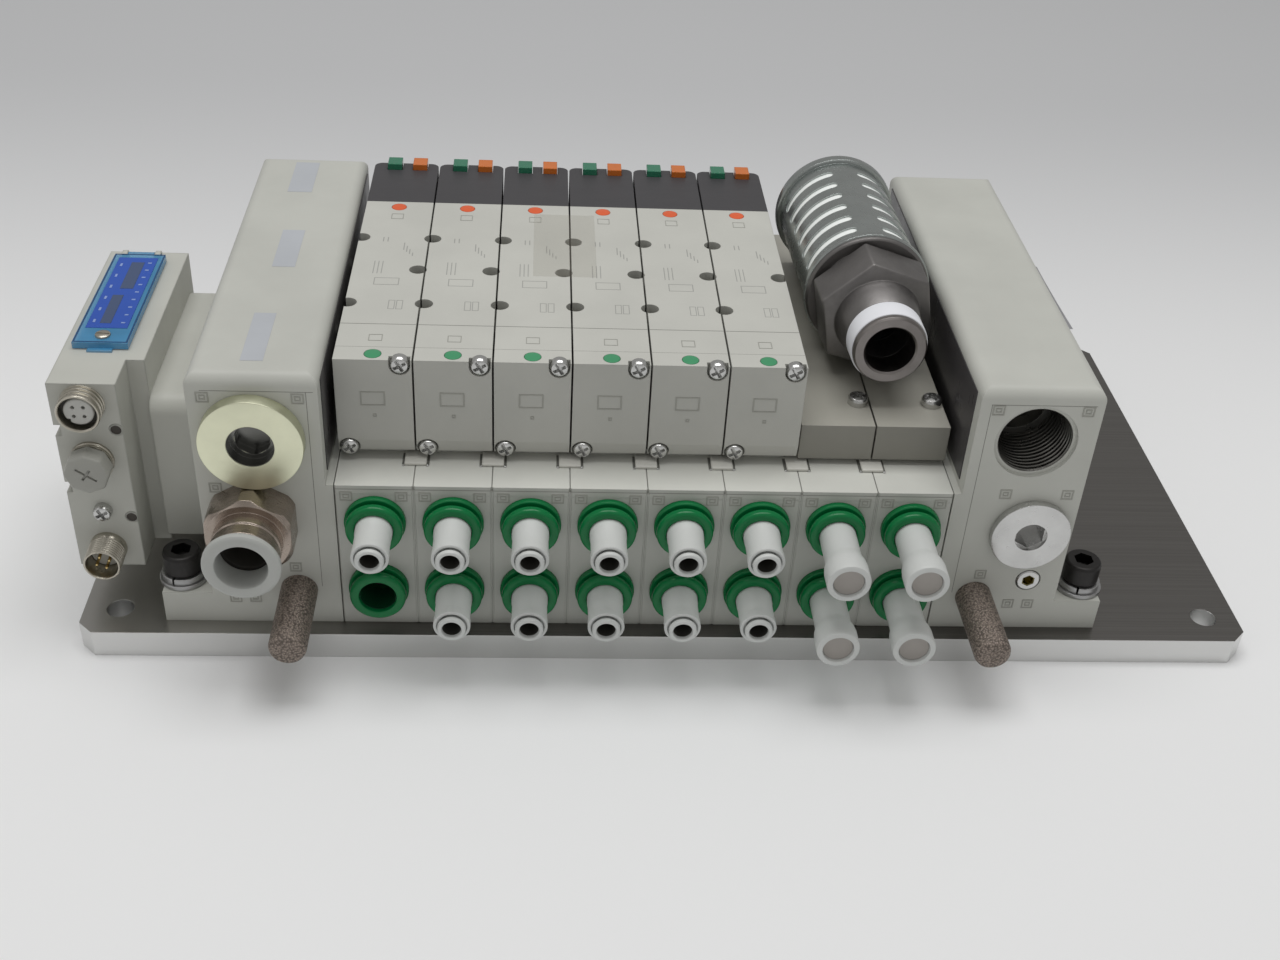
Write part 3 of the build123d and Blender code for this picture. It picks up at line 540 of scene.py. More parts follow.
NODE_FINISH = {
    "base_plate": plate, "manifold_blocks": housing_block, "seam_clips": clip_plastic,
    "valve_gaskets": gasket_rubber, "valve_caps": housing_valve, "valve_bodies": housing_valve,
    "pilot_covers": cover_plastic, "lamp_windows_green": lamp_green,
    "lamp_windows_orange": lamp_orange,
    "blanking_plates": blank_plastic, "cross_screws": zinc, "left_end_block": housing,
    "right_end_block": housing, "foot_bolts": bolt_black, "foot_washers": washer_zinc,
    "supply_plug": yellow_zinc, "hex_plugs": zinc, "supply_fitting": nickel,
    "pilot_silencers": bronze, "interface_housing": unit_plastic, "switch_panel": panel_dark,
    "interface_adapter": unit_plastic, "m12_shells": connector_nickel,
    "connector_plastics": seal_plastic, "silencer_adaptor": cast, "silencer_can": can_steel,
    "silencer_element": element_white, "port_guides": green_plastic, "tube_reducers": white_plastic,
    "blanking_plugs": white_plastic, "supply_release_ring": grey_ring_plastic,
    "display_cover": display_blue,
}
for name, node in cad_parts.items():
    if name.startswith("release_ring"):
        finish = green_plastic
    elif name.startswith("override_front"):
        finish = button_green
    elif name.startswith("override_rear"):
        finish = button_orange
    else:
        finish = NODE_FINISH[name]
    node.data.materials.clear()
    node.data.materials.append(finish)


# ---- Tube ports -----------------------------------------------------------------------

ring_nodes = sorted(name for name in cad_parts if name.startswith("release_ring"))
port_place = {name: middle(name) for name in ring_nodes}
for centre in port_place.values():
    centre.y = FRONT
OPEN_PORT = "release_ring_lower_1"
plugged = [name for name in ring_nodes if name[-1] in "78"]
reduced = [name for name in ring_nodes if name not in (*plugged, OPEN_PORT)]

guide = turned(
    [
        (7.1, 2.0), (9.5, 2.0), (9.9, 1.6), (9.9, 0.0), (8.3, 0.0), (8.3, -13.9), (7.1, -13.9),
        (7.1, 2.0),
    ],
)
aim(guide, Vector(), TOWARDS)
guides = repeated(guide, port_place.values())
finished(guides, "guide_rings", green_plastic)
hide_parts("port_guides")

ring = turned(
    [
        (6.1, 5.3), (6.25, 5.75), (6.7, 6.0), (8.2, 6.0), (8.75, 5.8), (9.1, 5.4), (9.25, 4.8),
        (9.25, 3.7), (9.05, 3.35), (8.7, 3.2), (7.0, 3.2), (7.0, -5.7), (6.1, -5.7), (6.1, 5.3),
    ],
    56,
)
aim(ring, Vector(), TOWARDS)
for name, centre in port_place.items():
    copy = copied(ring, centre)
    finished(copy, name + "_moulded", green_plastic, name)
    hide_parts(name)
bpy.data.objects.remove(ring)

reducer = turned(
    [
        (POLE, 3.2), (3.85, 3.2), (3.85, 18.6), (4.95, 18.6), (4.95, 19.9), (5.1, 20.0), (5.7, 20.0),
        (6.0, 19.7), (6.0, 17.2), (5.8, 16.9), (5.8, 8.4), (6.0, 8.0), (6.0, -11.8), (POLE, -11.8),
    ],
)
collar = turned(
    [
        (3.1, 21.4), (3.35, 21.85), (4.0, 21.95), (4.4, 21.75), (4.6, 21.2), (4.6, 20.6), (4.3, 20.2),
        (3.65, 20.2), (3.65, 16.5), (3.1, 16.5), (3.1, 21.4),
    ],
    40,
)
aim(reducer, Vector(), TOWARDS)
aim(collar, Vector(), TOWARDS)
places = [port_place[name] for name in reduced]
reducers = joined(repeated(reducer, places), repeated(collar, places))
finished(reducers, "reducers", white_plastic)
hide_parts("tube_reducers")

# Seals in the reducers, whose dark sleeves also paint the shade inside the collars
seal = turned(
    [
        (POLE, 9.0), (2.6, 9.0), (2.6, 14.6), (2.95, 15.8), (2.95, 20.6), (3.07, 20.6), (3.07, 16.3),
        (3.8, 16.3), (3.8, 8.4), (POLE, 8.4),
    ],
    40,
)
aim(seal, Vector(), TOWARDS)
port_seal = turned(
    [(POLE, -12.5), (5.7, -12.5), (5.7, -10.0), (6.2, -9.2), (6.9, -9.2), (6.9, -13.0), (POLE, -13.0)],
)
aim(port_seal, port_place[OPEN_PORT], TOWARDS)
seals = joined(repeated(seal, places), port_seal)
finished(seals, "tube_seals", seal_rubber_and_bore_shade)
# Painted shade: a dark green sleeve inside the open port's ring
ring_bore_shade = turned([(5.9, 4.5), (6.05, 4.5), (6.05, -5.7), (5.9, -5.7), (5.9, 4.5)])
aim(ring_bore_shade, port_place[OPEN_PORT], TOWARDS)
finished(ring_bore_shade, "ring_bore_shade", bore_shade_green, OPEN_PORT)

plug = turned(
    [
        (POLE, 28.5), (4.7, 28.5), (5.0, 28.8), (5.2, 30.0), (6.5, 30.0), (6.95, 29.75), (7.1, 29.2),
        (7.1, 23.6), (6.8, 21.6), (6.15, 19.6), (6.0, 18.6), (6.0, -11.8), (POLE, -11.8),
    ],
)
aim(plug, Vector(), TOWARDS)
plugs = repeated(plug, [port_place[name] for name in plugged])
finished(plugs, "port_plugs", white_plastic)
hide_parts("blanking_plugs")
# Painted shade: a darker disc in each plug's dimple
recess = turned([(POLE, 28.6), (4.0, 28.6), (4.7, 29.0), (4.85, 29.0), (4.85, 28.4), (POLE, 28.4)], 40)
aim(recess, Vector(), TOWARDS)
recess_shades = repeated(recess, [port_place[name] for name in plugged])
finished(recess_shades, "plug_recess_shades", recess_shade_plastic)


# ---- Supply fitting, plugs and exhaust port --------------------------------------------

fitting_at = middle("supply_release_ring")
fitting_at.y = FRONT
body = prism(6, 27, 0, 12)
corners = turned(
    [
        (13.2, 12.5), (13.2, 12.0), (14.6, 10.6), (14.6, -0.5), (20.0, -0.5), (20.0, 12.5),
        (13.2, 12.5),
    ],
    64,
)
cut(body, corners)
cut(body, prism(40, 18.5, 4, 13))
barrel = turned(
    [
        (9.28, 11.9), (9.28, 22.5), (10.6, 22.5), (11.0, 22.1), (11.0, 18.2), (10.6, 17.8),
        (10.6, 17.2), (11.0, 16.8), (11.0, 11.9), (9.28, 11.9),
    ],
    56,
)
fitting = joined(body, barrel)
aim(fitting, fitting_at, TOWARDS)
finished(fitting, "fitting_body", nickel)
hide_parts("supply_fitting")

grip = turned(
    [
        (8.05, 25.2), (8.3, 25.9), (9.0, 26.2), (10.8, 26.2), (11.6, 26.0), (12.1, 25.5), (12.2, 24.9),
        (12.2, 24.1), (12.0, 23.7), (11.6, 23.6), (9.2, 23.6), (9.2, 17.0), (8.05, 17.0), (8.05, 25.2),
    ],
    64,
)
aim(grip, fitting_at, TOWARDS)
finished(grip, "fitting_ring", grey_ring_plastic, "supply_release_ring")
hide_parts("supply_release_ring")

# The fitting's seal, whose dark colour also paints the shade deep in its bore
fitting_seal = turned(
    [(POLE, 1.5), (7.4, 1.5), (7.4, 13.0), (7.9, 15.5), (9.2, 15.5), (9.2, 1.0), (POLE, 1.0)], 56,
)
aim(fitting_seal, fitting_at, TOWARDS)
finished(fitting_seal, "fitting_seal", seal_rubber_and_bore_shade)


SOCKET_DEPTH = 8.0


def socket_plug(radius, flange, shank, socket, mouth, sink):
    """A flanged plug along +Z with a round mouth and a hex socket, its seat at zero."""
    made = turned(
        [
            (POLE, flange), (radius - 0.5, flange), (radius - 0.1, flange - 0.1),
            (radius, flange - 0.5), (radius, 0.4), (radius - 0.4, 0.0), (shank, 0.0),
            (shank, -10.9), (POLE, -10.9),
        ],
        72,
    )
    cut(made, prism(6, socket, flange - SOCKET_DEPTH, flange + 1))
    cut(made, prism(48, 2 * mouth, flange - sink, flange + 1))
    return made


def socket_lining(socket, mouth, flange, sink):
    """The dark inside of a round mouth and its hex socket."""
    floor = flange - SOCKET_DEPTH
    made = prism(6, socket - 0.05, floor + 0.05, flange - sink - 0.05)
    cut(made, prism(6, socket - 0.5, floor + 0.5, flange + 1))
    outer, inner, throat = mouth - 0.04, mouth - 0.14, socket / 2 + 0.1
    step = flange - sink + 0.04
    mouth_wall = turned(
        [
            (throat, step), (outer, step), (outer, flange - 0.3), (inner, flange - 0.3),
            (inner, step + 0.1), (throat, step + 0.1), (throat, step),
        ],
        48,
    )
    return joined(made, mouth_wall)


supply_at = middle("supply_plug")
supply_at.y = FRONT
supply = socket_plug(radius=16.2, flange=5.0, shank=12.0, socket=11.0, mouth=7.4, sink=4.5)
aim(supply, supply_at, TOWARDS)
finished(supply, "supply_port_plug", yellow_zinc)
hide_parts("supply_plug")
supply_lining = socket_lining(socket=11.0, mouth=7.4, flange=5.0, sink=4.5)
aim(supply_lining, supply_at, TOWARDS)
finished(supply_lining, "socket_lining", socket_dark)

exhaust_port_at = place(223.0, 0, 87.4)
exhaust_plug_at = place(227.8, 0, 51.5)
pilot_plug_at = place(231.6, 0, 31.1)
exhaust = socket_plug(radius=13.3, flange=3.0, shank=9.5, socket=9.2, mouth=5.4, sink=1.5)
aim(exhaust, exhaust_plug_at, TOWARDS)
pilot = turned([(POLE, 0.4), (3.6, 0.4), (4.0, 0.0), (4.0, -10.9), (POLE, -10.9)], 32)
cut(pilot, prism(6, 4, -4, 2))
aim(pilot, pilot_plug_at, TOWARDS)
silver_plugs = joined(exhaust, pilot)
finished(silver_plugs, "end_block_plugs", zinc)
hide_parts("hex_plugs")
pilot_lining = prism(6, 3.95, -3.9, 0.1)
cut(pilot_lining, prism(6, 3.5, -3.5, 1))
aim(pilot_lining, pilot_plug_at, TOWARDS)
finished(pilot_lining, "pilot_socket_lining", socket_brass)

# The exhaust port's thread, with a dark sleeve and floor that paint the shade inside it
THREAD_STEP = 1.8
ridge = turned([(12.05, -1.5), (11.6, -2.0), (11.6, -2.3), (12.05, -2.8), (12.05, -1.5)], 56)
ridges = repeated(ridge, [Vector((0, 0, -THREAD_STEP * turn * MM)) for turn in range(14)])
port_shade_lining = turned(
    [(POLE, -29.2), (11.95, -29.2), (11.95, -1.4), (12.08, -1.4), (12.08, -29.4), (POLE, -29.4)],
    56,
)
port_step = turned([(11.9, -23.0), (9.6, -23.4), (9.6, -29.0), (11.9, -29.0), (11.9, -23.0)], 56)
thread = joined(ridges, port_shade_lining, port_step)
aim(thread, exhaust_port_at, TOWARDS)
finished(thread, "exhaust_thread", port_metal_in_shade)


# ---- Screws, bolts and washers ---------------------------------------------------------

def cross_screw(radius, height):
    """A pan-head screw along +Z with a cross recess, its seat at zero."""
    head = turned(
        [
            (POLE, height), (radius * 0.55, height), (radius * 0.85, height * 0.9),
            (radius * 0.98, height * 0.7), (radius, height * 0.5), (radius, 0.0), (POLE, 0.0),
        ],
        36,
    )
    for turn in (0, pi / 2):
        bar_at = Vector((0, 0, height * 0.92 * MM))
        bar = slab((radius * 1.45, radius * 0.36, height), bar_at, 0.15, 1)
        bar.rotation_euler = (0, 0, turn + 0.5)
        settle(bar)
        cut(head, bar)
    return head


front_screw = cross_screw(3.0, 3.1)
aim(front_screw, Vector(), TOWARDS)
screw_places = along_row(VALVES, 20.9, SCREW_SEAT, 102.6) + along_row(VALVES, 3.9, SCREW_SEAT, 71.7)
screw_places.append(place(-77.2, UNIT_FRONT, 46.5))
front_screws = repeated(front_screw, screw_places)
top_screw = cross_screw(3.4, 3.1)
top_screws = repeated(top_screw, along_row(STATIONS, 20.9, 30.3, BLANK_TOP, first=VALVES))
screws = joined(front_screws, top_screws)
finished(screws, "pan_screws", zinc)
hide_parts("cross_screws")

HEAD_RADIUS = 6.5
HEAD_HEIGHT = 8.0
HEAD_EDGES = 96
bolts_low, bolts_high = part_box("foot_bolts")
bolt_places = [
    Vector((x, y, bolts_high.z - HEAD_HEIGHT * MM))
    for x in (bolts_low.x + HEAD_RADIUS * MM, bolts_high.x - HEAD_RADIUS * MM)
    for y in (bolts_low.y + HEAD_RADIUS * MM, bolts_high.y - HEAD_RADIUS * MM)
]
bolt = turned(
    [
        (POLE, HEAD_HEIGHT), (5.6, HEAD_HEIGHT), (6.1, 7.7), (6.3, 7.2), (HEAD_RADIUS, 6.8),
        (HEAD_RADIUS, 0.9), (6.3, 0.5), (6.2, 0.0), (4.0, 0.0), (4.0, -23.7), (POLE, -23.7),
    ],
    HEAD_EDGES,
)
# Every other edge of the head is drawn in, which leaves the grooves of its grip
for vertex in bolt.data.vertices:
    step = round(vertex.co.xy.angle_signed(Vector((1, 0)), 0) / (2 * pi / HEAD_EDGES))
    vertex.select = step % 2 == 1 and vertex.co.xy.length > (HEAD_RADIUS - 0.05) * MM
pick(bolt)
bpy.ops.object.mode_set(mode="EDIT")
bpy.ops.transform.resize(value=(0.96, 0.96, 1), center_override=(0, 0, 0))
bpy.ops.object.mode_set(mode="OBJECT")
cut(bolt, prism(6, 6, 4, 9))
bolts = repeated(bolt, bolt_places)
finished(bolts, "socket_bolts", bolt_black, angle=12)
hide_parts("foot_bolts")

flat = turned(
    [(4.4, -3.8), (7.8, -3.8), (8.0, -3.6), (8.0, -2.4), (7.8, -2.2), (4.4, -2.2), (4.4, -3.8)],
)
spring = turned(
    [(4.5, -2.2), (6.9, -2.2), (7.1, -2.0), (7.1, -0.2), (6.9, 0.0), (4.5, 0.0), (4.5, -2.2)],
)
split = slab((4, 0.7, 2.6), Vector((5.7 * MM, 0, -1.1 * MM)))
split.rotation_euler = (0, 0, -1.9)
settle(split)
cut(spring, split)
washers = repeated(joined(flat, spring), bolt_places)
finished(washers, "bolt_washers", washer_zinc)
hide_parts("foot_washers")


# ---- Porous pilot silencers ------------------------------------------------------------

porous = turned(
    [
        (POLE, 31.0), (3.6, 31.0), (4.9, 30.7), (5.7, 30.0), (6.1, 28.8), (6.1, 0.0), (4.2, 0.0),
        (4.2, -10.9), (POLE, -10.9),
    ],
)
aim(porous, Vector(), TOWARDS)
porous_pair = repeated(porous, [place(-13.8, 0, 24.0), place(213.8, 0, 24.0)])
finished(porous_pair, "porous_silencers", bronze)
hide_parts("pilot_silencers")


# ---- Fieldbus unit ---------------------------------------------------------------------

socket_at, cap_at, plug_at = [place(-77.6, UNIT_FRONT, z) for z in (87.8, 66.6, 31.3)]
socket_shell = turned(
    [
        (5.9, 5.4), (5.9, 6.2), (6.2, 6.5), (6.6, 6.5), (6.8, 6.2), (6.8, 5.0), (6.3, 4.6), (6.3, 4.2),
        (6.9, 3.9), (6.9, 3.1), (6.3, 2.8), (6.3, 2.4), (6.9, 2.1), (6.9, 1.3), (6.3, 1.0), (6.3, 0.6),
        (6.9, 0.3), (6.9, 0.0), (5.9, 0.0), (5.9, 5.4),
    ],
    56,
)
aim(socket_shell, socket_at, TOWARDS)
thread_profile = [(5.0, 9.9), (5.3, 10.5), (5.7, 10.5)]
for turn in range(8):
    drop = 1.05 * turn
    thread_profile += [(6.0, 10.2 - drop), (6.0, 9.95 - drop), (5.5, 9.6 - drop)]
thread_profile += [(6.0, 1.4), (6.0, 0.0), (5.0, 0.0), (5.0, 9.9)]
plug_shell = turned(thread_profile, 56)
aim(plug_shell, plug_at, TOWARDS)
cap_collar = turned(
    [
        (5.0, 0.0), (6.9, 0.0), (6.9, 0.8), (6.5, 1.1), (6.5, 1.5), (6.9, 1.8), (6.9, 2.6), (5.0, 2.6),
        (5.0, 0.0),
    ],
    56,
)
aim(cap_collar, cap_at, TOWARDS)
shells = joined(socket_shell, plug_shell, cap_collar)
finished(shells, "round_connector_shells", connector_nickel)

CONTACT_CIRCLE = 2.3
CONTACTS = 4
socket_face = turned([(POLE, 4.9), (4.4, 4.9), (4.7, 4.6), (4.7, 0.0), (POLE, 0.0)], 48)
for contact in range(CONTACTS):
    angle = pi / 4 + pi / 2 * contact
    drill = prism(16, 1.2, 3.0, 7.0)
    drill.location = (CONTACT_CIRCLE * cos(angle) * MM, CONTACT_CIRCLE * sin(angle) * MM, 0)
    settle(drill)
    cut(socket_face, drill)
key = slab((1.4, 1.8, 3.0), Vector((-3.4 * MM, -3.4 * MM, 5.0 * MM)))
cut(socket_face, key)
aim(socket_face, socket_at, TOWARDS)
finished(socket_face, "socket_insert", insert_plastic)
# Painted shade: a dark ring in the gap between the socket's insert and shell
socket_gap_shade = turned([(4.75, 0.1), (5.88, 0.1), (5.88, 3.4), (4.75, 3.4), (4.75, 0.1)], 48)
aim(socket_gap_shade, socket_at, TOWARDS)
finished(socket_gap_shade, "socket_gap_shade", seal_rubber_and_bore_shade)
plug_face = turned([(POLE, 4.0), (4.6, 4.0), (4.8, 3.8), (4.8, 0.0), (POLE, 0.0)], 40)
aim(plug_face, plug_at, TOWARDS)
finished(plug_face, "plug_insert", insert_plastic)
pins = []
for contact in range(CONTACTS):
    angle = pi / 2 * contact + 0.4
    pin = turned([(POLE, 9.0), (0.35, 8.9), (0.5, 8.6), (0.5, 4.0), (POLE, 4.0)], 16)
    pin.location = (CONTACT_CIRCLE * cos(angle) * MM, CONTACT_CIRCLE * sin(angle) * MM, 0)
    settle(pin)
    pins.append(pin)
plug_pins = joined(*pins)
aim(plug_pins, plug_at, TOWARDS)
finished(plug_pins, "plug_pins", contact_gold)

cap_body = prism(8, 13.4, 2.6, 9.0)
bevelled(cap_body, 0.7, 3)
for length, turn in ((7.5, -0.62), (4.6, 0.95)):
    stroke = slab((length, 0.75, 1.0), Vector((0, 0, 8.9 * MM)))
    stroke.rotation_euler = (0, 0, turn)
    settle(stroke)
    cut(cap_body, stroke)
aim(cap_body, cap_at, TOWARDS)
finished(cap_body, "seal_cap", seal_plastic)
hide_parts("m12_shells")
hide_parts("connector_plastics")

# Screw wells that break out through the unit's front right corner, drawn as dark discs of painted shade
WELLS = ((-68.6, 78.2), (-68.4, 43.8))
unit_corner = unit_low.x + 21.2 * MM


def in_the_corner(profile):
    """A turned shape at each screw well, cut off where it passes the unit's corner."""
    parts = []
    for x, z in WELLS:
        part = turned(profile, 32)
        aim(part, place(x, UNIT_FRONT, z), TOWARDS)
        beyond = Vector((unit_corner + 2.06 * MM, FRONT + UNIT_FRONT * MM, z * MM))
        cut(part, slab((4, 2, 8), beyond))
        parts.append(part)
    return joined(*parts)


wells = in_the_corner([(POLE, 0.06), (1.7, 0.06), (1.7, 0.0), (POLE, 0.0)])
finished(wells, "unit_screw_well_shades", well_shade_plastic)
lips = in_the_corner([(1.7, 0.0), (1.7, 0.3), (2.0, 0.3), (2.3, 0.0), (1.7, 0.0)])
finished(lips, "unit_well_lips", unit_plastic)

# What is printed under the display cover, and the cover's screw and tab
cover_low, cover_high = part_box("display_cover")
cover_mid = (cover_low + cover_high) / 2
cover_wide = (cover_high.x - cover_low.x) / MM
cover_long = (cover_high.y - cover_low.y) / MM
PRINT_RISE = 0.13


def on_cover(x, y, rise=PRINT_RISE):
    """A point given in millimetres from the middle of what is printed on the display cover."""
    return Vector((cover_mid.x + x * MM, cover_mid.y + (2.0 + y) * MM, cover_high.z + rise * MM))


sheet = slab((cover_wide - 4.2, 49.0, 0.1), on_cover(0, 0, 0.06), 0.04, 1)
finished(sheet, "display_print_sheet", panel_blue, "display_cover")
zones = joined(
    slab((4.4, 19.0, 0.06), on_cover(0.6, 11.5), 0.02, 1),
    slab((3.6, 19.0, 0.06), on_cover(-1.0, -12.0), 0.02, 1),
)
finished(zones, "display_zones", panel_grey, "display_cover")
marks = joined(
    slabs((1.3, 0.8, 0.06), [on_cover(4.6, -21 + 5.2 * step) for step in range(9)]),
    slabs((0.8, 2.0, 0.06), [on_cover(-4.8, -20 + 7.8 * step) for step in range(6)]),
)
finished(marks, "display_marks", panel_pale, "display_cover")
outline = border(cover_wide - 0.3, cover_long - 3.0, 0.55, 0.08)
outline.location = on_cover(0, -3.1, -0.02)
settle(outline)
finished(outline, "display_outline", outline_blue, "display_cover")
cover_screw = turned([(POLE, 0.9), (1.9, 0.9), (2.4, 0.6), (2.5, 0.0), (POLE, 0.0)], 32)
cut(cover_screw, slab((6.0, 0.6, 1.0), Vector((0, 0, 0.9 * MM))))
cover_screw.location = (cover_mid.x, cover_low.y + 4.8 * MM, cover_high.z)
settle(cover_screw)
finished(cover_screw, "display_screw", connector_nickel, "display_cover")
tab_at = Vector((cover_mid.x, cover_low.y - 0.8 * MM, unit_high.z - 2.2 * MM))
front_tab = slab((8.0, 2.2, 0.9), tab_at, 0.2)
finished(front_tab, "display_tab", display_blue, "display_cover")


# ---- Exhaust silencer ------------------------------------------------------------------

YAW = radians(1.9)
ALONG = Vector((-sin(YAW), cos(YAW), 0))
can_low, can_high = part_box("silencer_can")
tip = place(178.3, 26.8, 0)
tip.z = (can_low.z + can_high.z) / 2

BORE = 8.3  # the radius of the way through the adaptor
nipple = turned(
    [
        (BORE, 0.6), (8.9, 0.0), (11.6, 0.0), (12.2, 0.7), (12.35, 2.4), (12.35, 10.0), (BORE, 10.0),
        (BORE, 0.6),
    ],
    64,
)
aim(nipple, tip, ALONG)
finished(nipple, "silencer_nipple", nipple_metal)
tape = turned(
    [(12.3, 2.0), (12.6, 2.1), (12.8, 2.8), (12.85, 9.4), (12.7, 9.9), (12.3, 10.0), (12.3, 2.0)],
    64,
)
aim(tape, tip, ALONG)
finished(tape, "silencer_sealant", sealant_white)

neck = turned(
    [
        (BORE, 10.0), (12.6, 10.0), (13.0, 10.6), (13.8, 18.0), (14.6, 21.0), (14.8, 22.0),
        (BORE, 22.0), (BORE, 10.0),
    ],
    64,
)
hexagon = prism(6, 36, 21, 36, 1.02)
bevelled(hexagon, 0.7, 3)
hexagon.rotation_euler = (0, 0, radians(-11))
settle(hexagon)
cut(hexagon, prism(48, 2 * BORE, 20, 38))
waist = turned([(BORE, 36.0), (17.0, 36.0), (17.3, 38.0), (BORE, 38.0), (BORE, 36.0)], 64)
collar_ring = turned(
    [
        (BORE, 38.0), (20.6, 38.0), (21.2, 38.4), (21.4, 39.0), (21.4, 39.6), (BORE, 39.6),
        (BORE, 38.0),
    ],
    72,
)
adaptor = joined(neck, hexagon, waist, collar_ring)
aim(adaptor, tip, ALONG)
finished(adaptor, "silencer_casting", cast)
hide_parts("silencer_adaptor")

# The slotted can: a thin tube cut by curved slots with round ends
CAN_OUTER = 20.5
CAN_INNER = 20.0
CAN_START = 41.0
CAN_END = CAN_START + 60
SLOT_HALF = 1.9  # half a slot's width
SLOT_TURN = 55  # degrees between the middles of a slot's round ends
columns = [45 + 90 * column for column in range(4)]
rows = [CAN_START + 6.8 + 9.0 * step for step in range(6)]
can = turned(
    [
        (CAN_OUTER, CAN_START - 1.0), (CAN_OUTER, CAN_END), (CAN_INNER, CAN_END),
        (CAN_INNER, CAN_START - 1.0), (CAN_OUTER, CAN_START - 1.0),
    ],
    120,
)
slot_wide = (CAN_OUTER + CAN_INNER) * sin(radians(SLOT_TURN / 2))
slot = slab((6.0, slot_wide, 2 * SLOT_HALF), Vector((19 * MM, 0, 0)))
cut(can, around(slot, columns, rows))
deselect()
bpy.ops.mesh.primitive_cylinder_add(
    vertices=24, radius=SLOT_HALF * MM, depth=5 * MM, location=(20 * MM, 0, 0),
    rotation=(0, pi / 2, 0),
)
slot_end = bpy.context.object
settle(slot_end)
end_angles = [centre + side * SLOT_TURN / 2 for centre in columns for side in (-1, 1)]
cut(can, around(slot_end, end_angles, rows))
rim = turned(
    [
        (POLE, 102.0), (19.6, 102.0), (20.0, 104.0), (20.5, 104.8), (21.2, 105.0), (21.8, 104.7),
        (22.0, 104.0), (22.0, 101.4), (21.9, 101.0), (21.6, 100.8), (20.5, 100.8), (19.4, 100.8),
        (POLE, 100.8), (POLE, 102.0),
    ],
    96,
)
front_rim = turned(
    [
        (20.5, 42.4), (21.2, 42.3), (21.7, 41.9), (21.9, 41.3), (21.9, 39.8), (21.5, 39.6),
        (20.5, 39.6), (20.5, 42.4),
    ],
    96,
)
can_whole = joined(rim, front_rim, can)
aim(can_whole, tip, ALONG)
finished(can_whole, "silencer_slotted_can", can_steel, angle=40)
element = turned([(19.85, 41.2), (19.85, 100.7), (12.0, 100.7), (12.0, 41.2), (19.85, 41.2)], 120)
aim(element, tip, ALONG)
finished(element, "silencer_fibre", element_white)
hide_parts("silencer_element")
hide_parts("silencer_can")


# ---- Raised marks, labels and panels ---------------------------------------------------

def raised_marks(name, width, height, line, rise, points, facing, finish=mark_plastic):
    """Small bare frames, all alike, standing on a face."""
    mark = border(width, height, line, rise)
    aim(mark, Vector(), facing)
    return finished(repeated(mark, points), name, finish, angle=20)


block_marks = along_row(STATIONS, 3.6, 0, 62.6) + along_row(STATIONS, 21.1, 0, 62.6)
raised_marks("block_marks", 4.0, 3.6, 0.35, 0.16, block_marks, TOWARDS)
raised_marks("block_inner_marks", 2.0, 1.6, 0.3, 0.14, block_marks, TOWARDS)

# The manifold's front: level fills, with fine lines over them where the blocks and strip meet
fills = joined(
    slabs((24.6, 0.42, 0.42), along_row(STATIONS, PITCH / 2, 0.2, 63.3), 0.02, 1),
    slabs((0.9, 0.3, 55.0), along_row(STATIONS, 0, 0.13, 37.7, first=1), 0.01, 1),
)
finished(fills, "strip_fills", housing_block)
lines = joined(
    slabs((24.2, 0.05, 0.22), along_row(STATIONS, PITCH / 2, 0.0, 65.4)),
    slabs((0.12, 0.05, 55.0), along_row(STATIONS, 0, -0.02, 37.7, first=1)),
    slabs((34.0, 0.05, 0.2), [place(x, 0.0, 101.4) for x in (-21.0, 223.0)]),
    slabs((0.2, 0.05, 76.0), [place(x, 0.0, 63.4) for x in (-6.2, 206.2)]),
)
finished(lines, "moulding_lines", line_plastic)
# Dark slabs in the gaps between the blocks paint the shade inside the seams
seams = slabs((0.28, 158.35, 56.0), along_row(STATIONS, 0, 79.225, 38.3, first=1))
finished(seams, "block_seam_shadows", seam_shadow_filling)

END_MARKS = (
    (-37.5, 99.0), (-8.8, 99.0), (-37.0, 65.2), (-35.0, 20.1), (-28.5, 20.2), (-14.3, 33.4),
    (208.6, 99.4), (237.5, 99.4), (217.0, 67.0), (237.6, 67.0), (226.6, 20.6), (233.4, 20.6),
    (214.7, 33.4),
)
end_places = [place(x, 0, z) for x, z in END_MARKS]
raised_marks("end_marks", 3.9, 3.7, 0.4, 0.18, end_places, TOWARDS)
raised_marks("end_inner_marks", 1.9, 1.7, 0.35, 0.16, end_places, TOWARDS)
cap_marks = along_row(VALVES, 12.1, CAP_FRONT, 90.3)
raised_marks("cap_marks", 7.8, 5.2, 0.4, 0.15, cap_marks, TOWARDS)
cap_dots = along_row(VALVES, PITCH / 2, CAP_FRONT, 84.0)
raised_marks("cap_small_marks", 1.2, 1.2, 0.3, 0.12, cap_dots, TOWARDS)
front_marks = along_row(VALVES, 12.4, 28.4, VALVE_TOP)
raised_marks("cap_top_marks", 4.4, 4.0, 0.25, 0.08, front_marks, UP)
rear_marks = along_row(VALVES, 12.4, 115.5, VALVE_TOP)
raised_marks("body_top_marks", 4.4, 4.2, 0.25, 0.08, rear_marks, UP)
top_joints = joined(
    slabs((24.2, 0.28, 0.04), along_row(VALVES, PITCH / 2, 37.1, VALVE_TOP)),
    slabs((24.2, 0.12, 0.03), along_row(VALVES, PITCH / 2, 22.6, VALVE_TOP)),
)
finished(top_joints, "cap_joints", line_plastic)

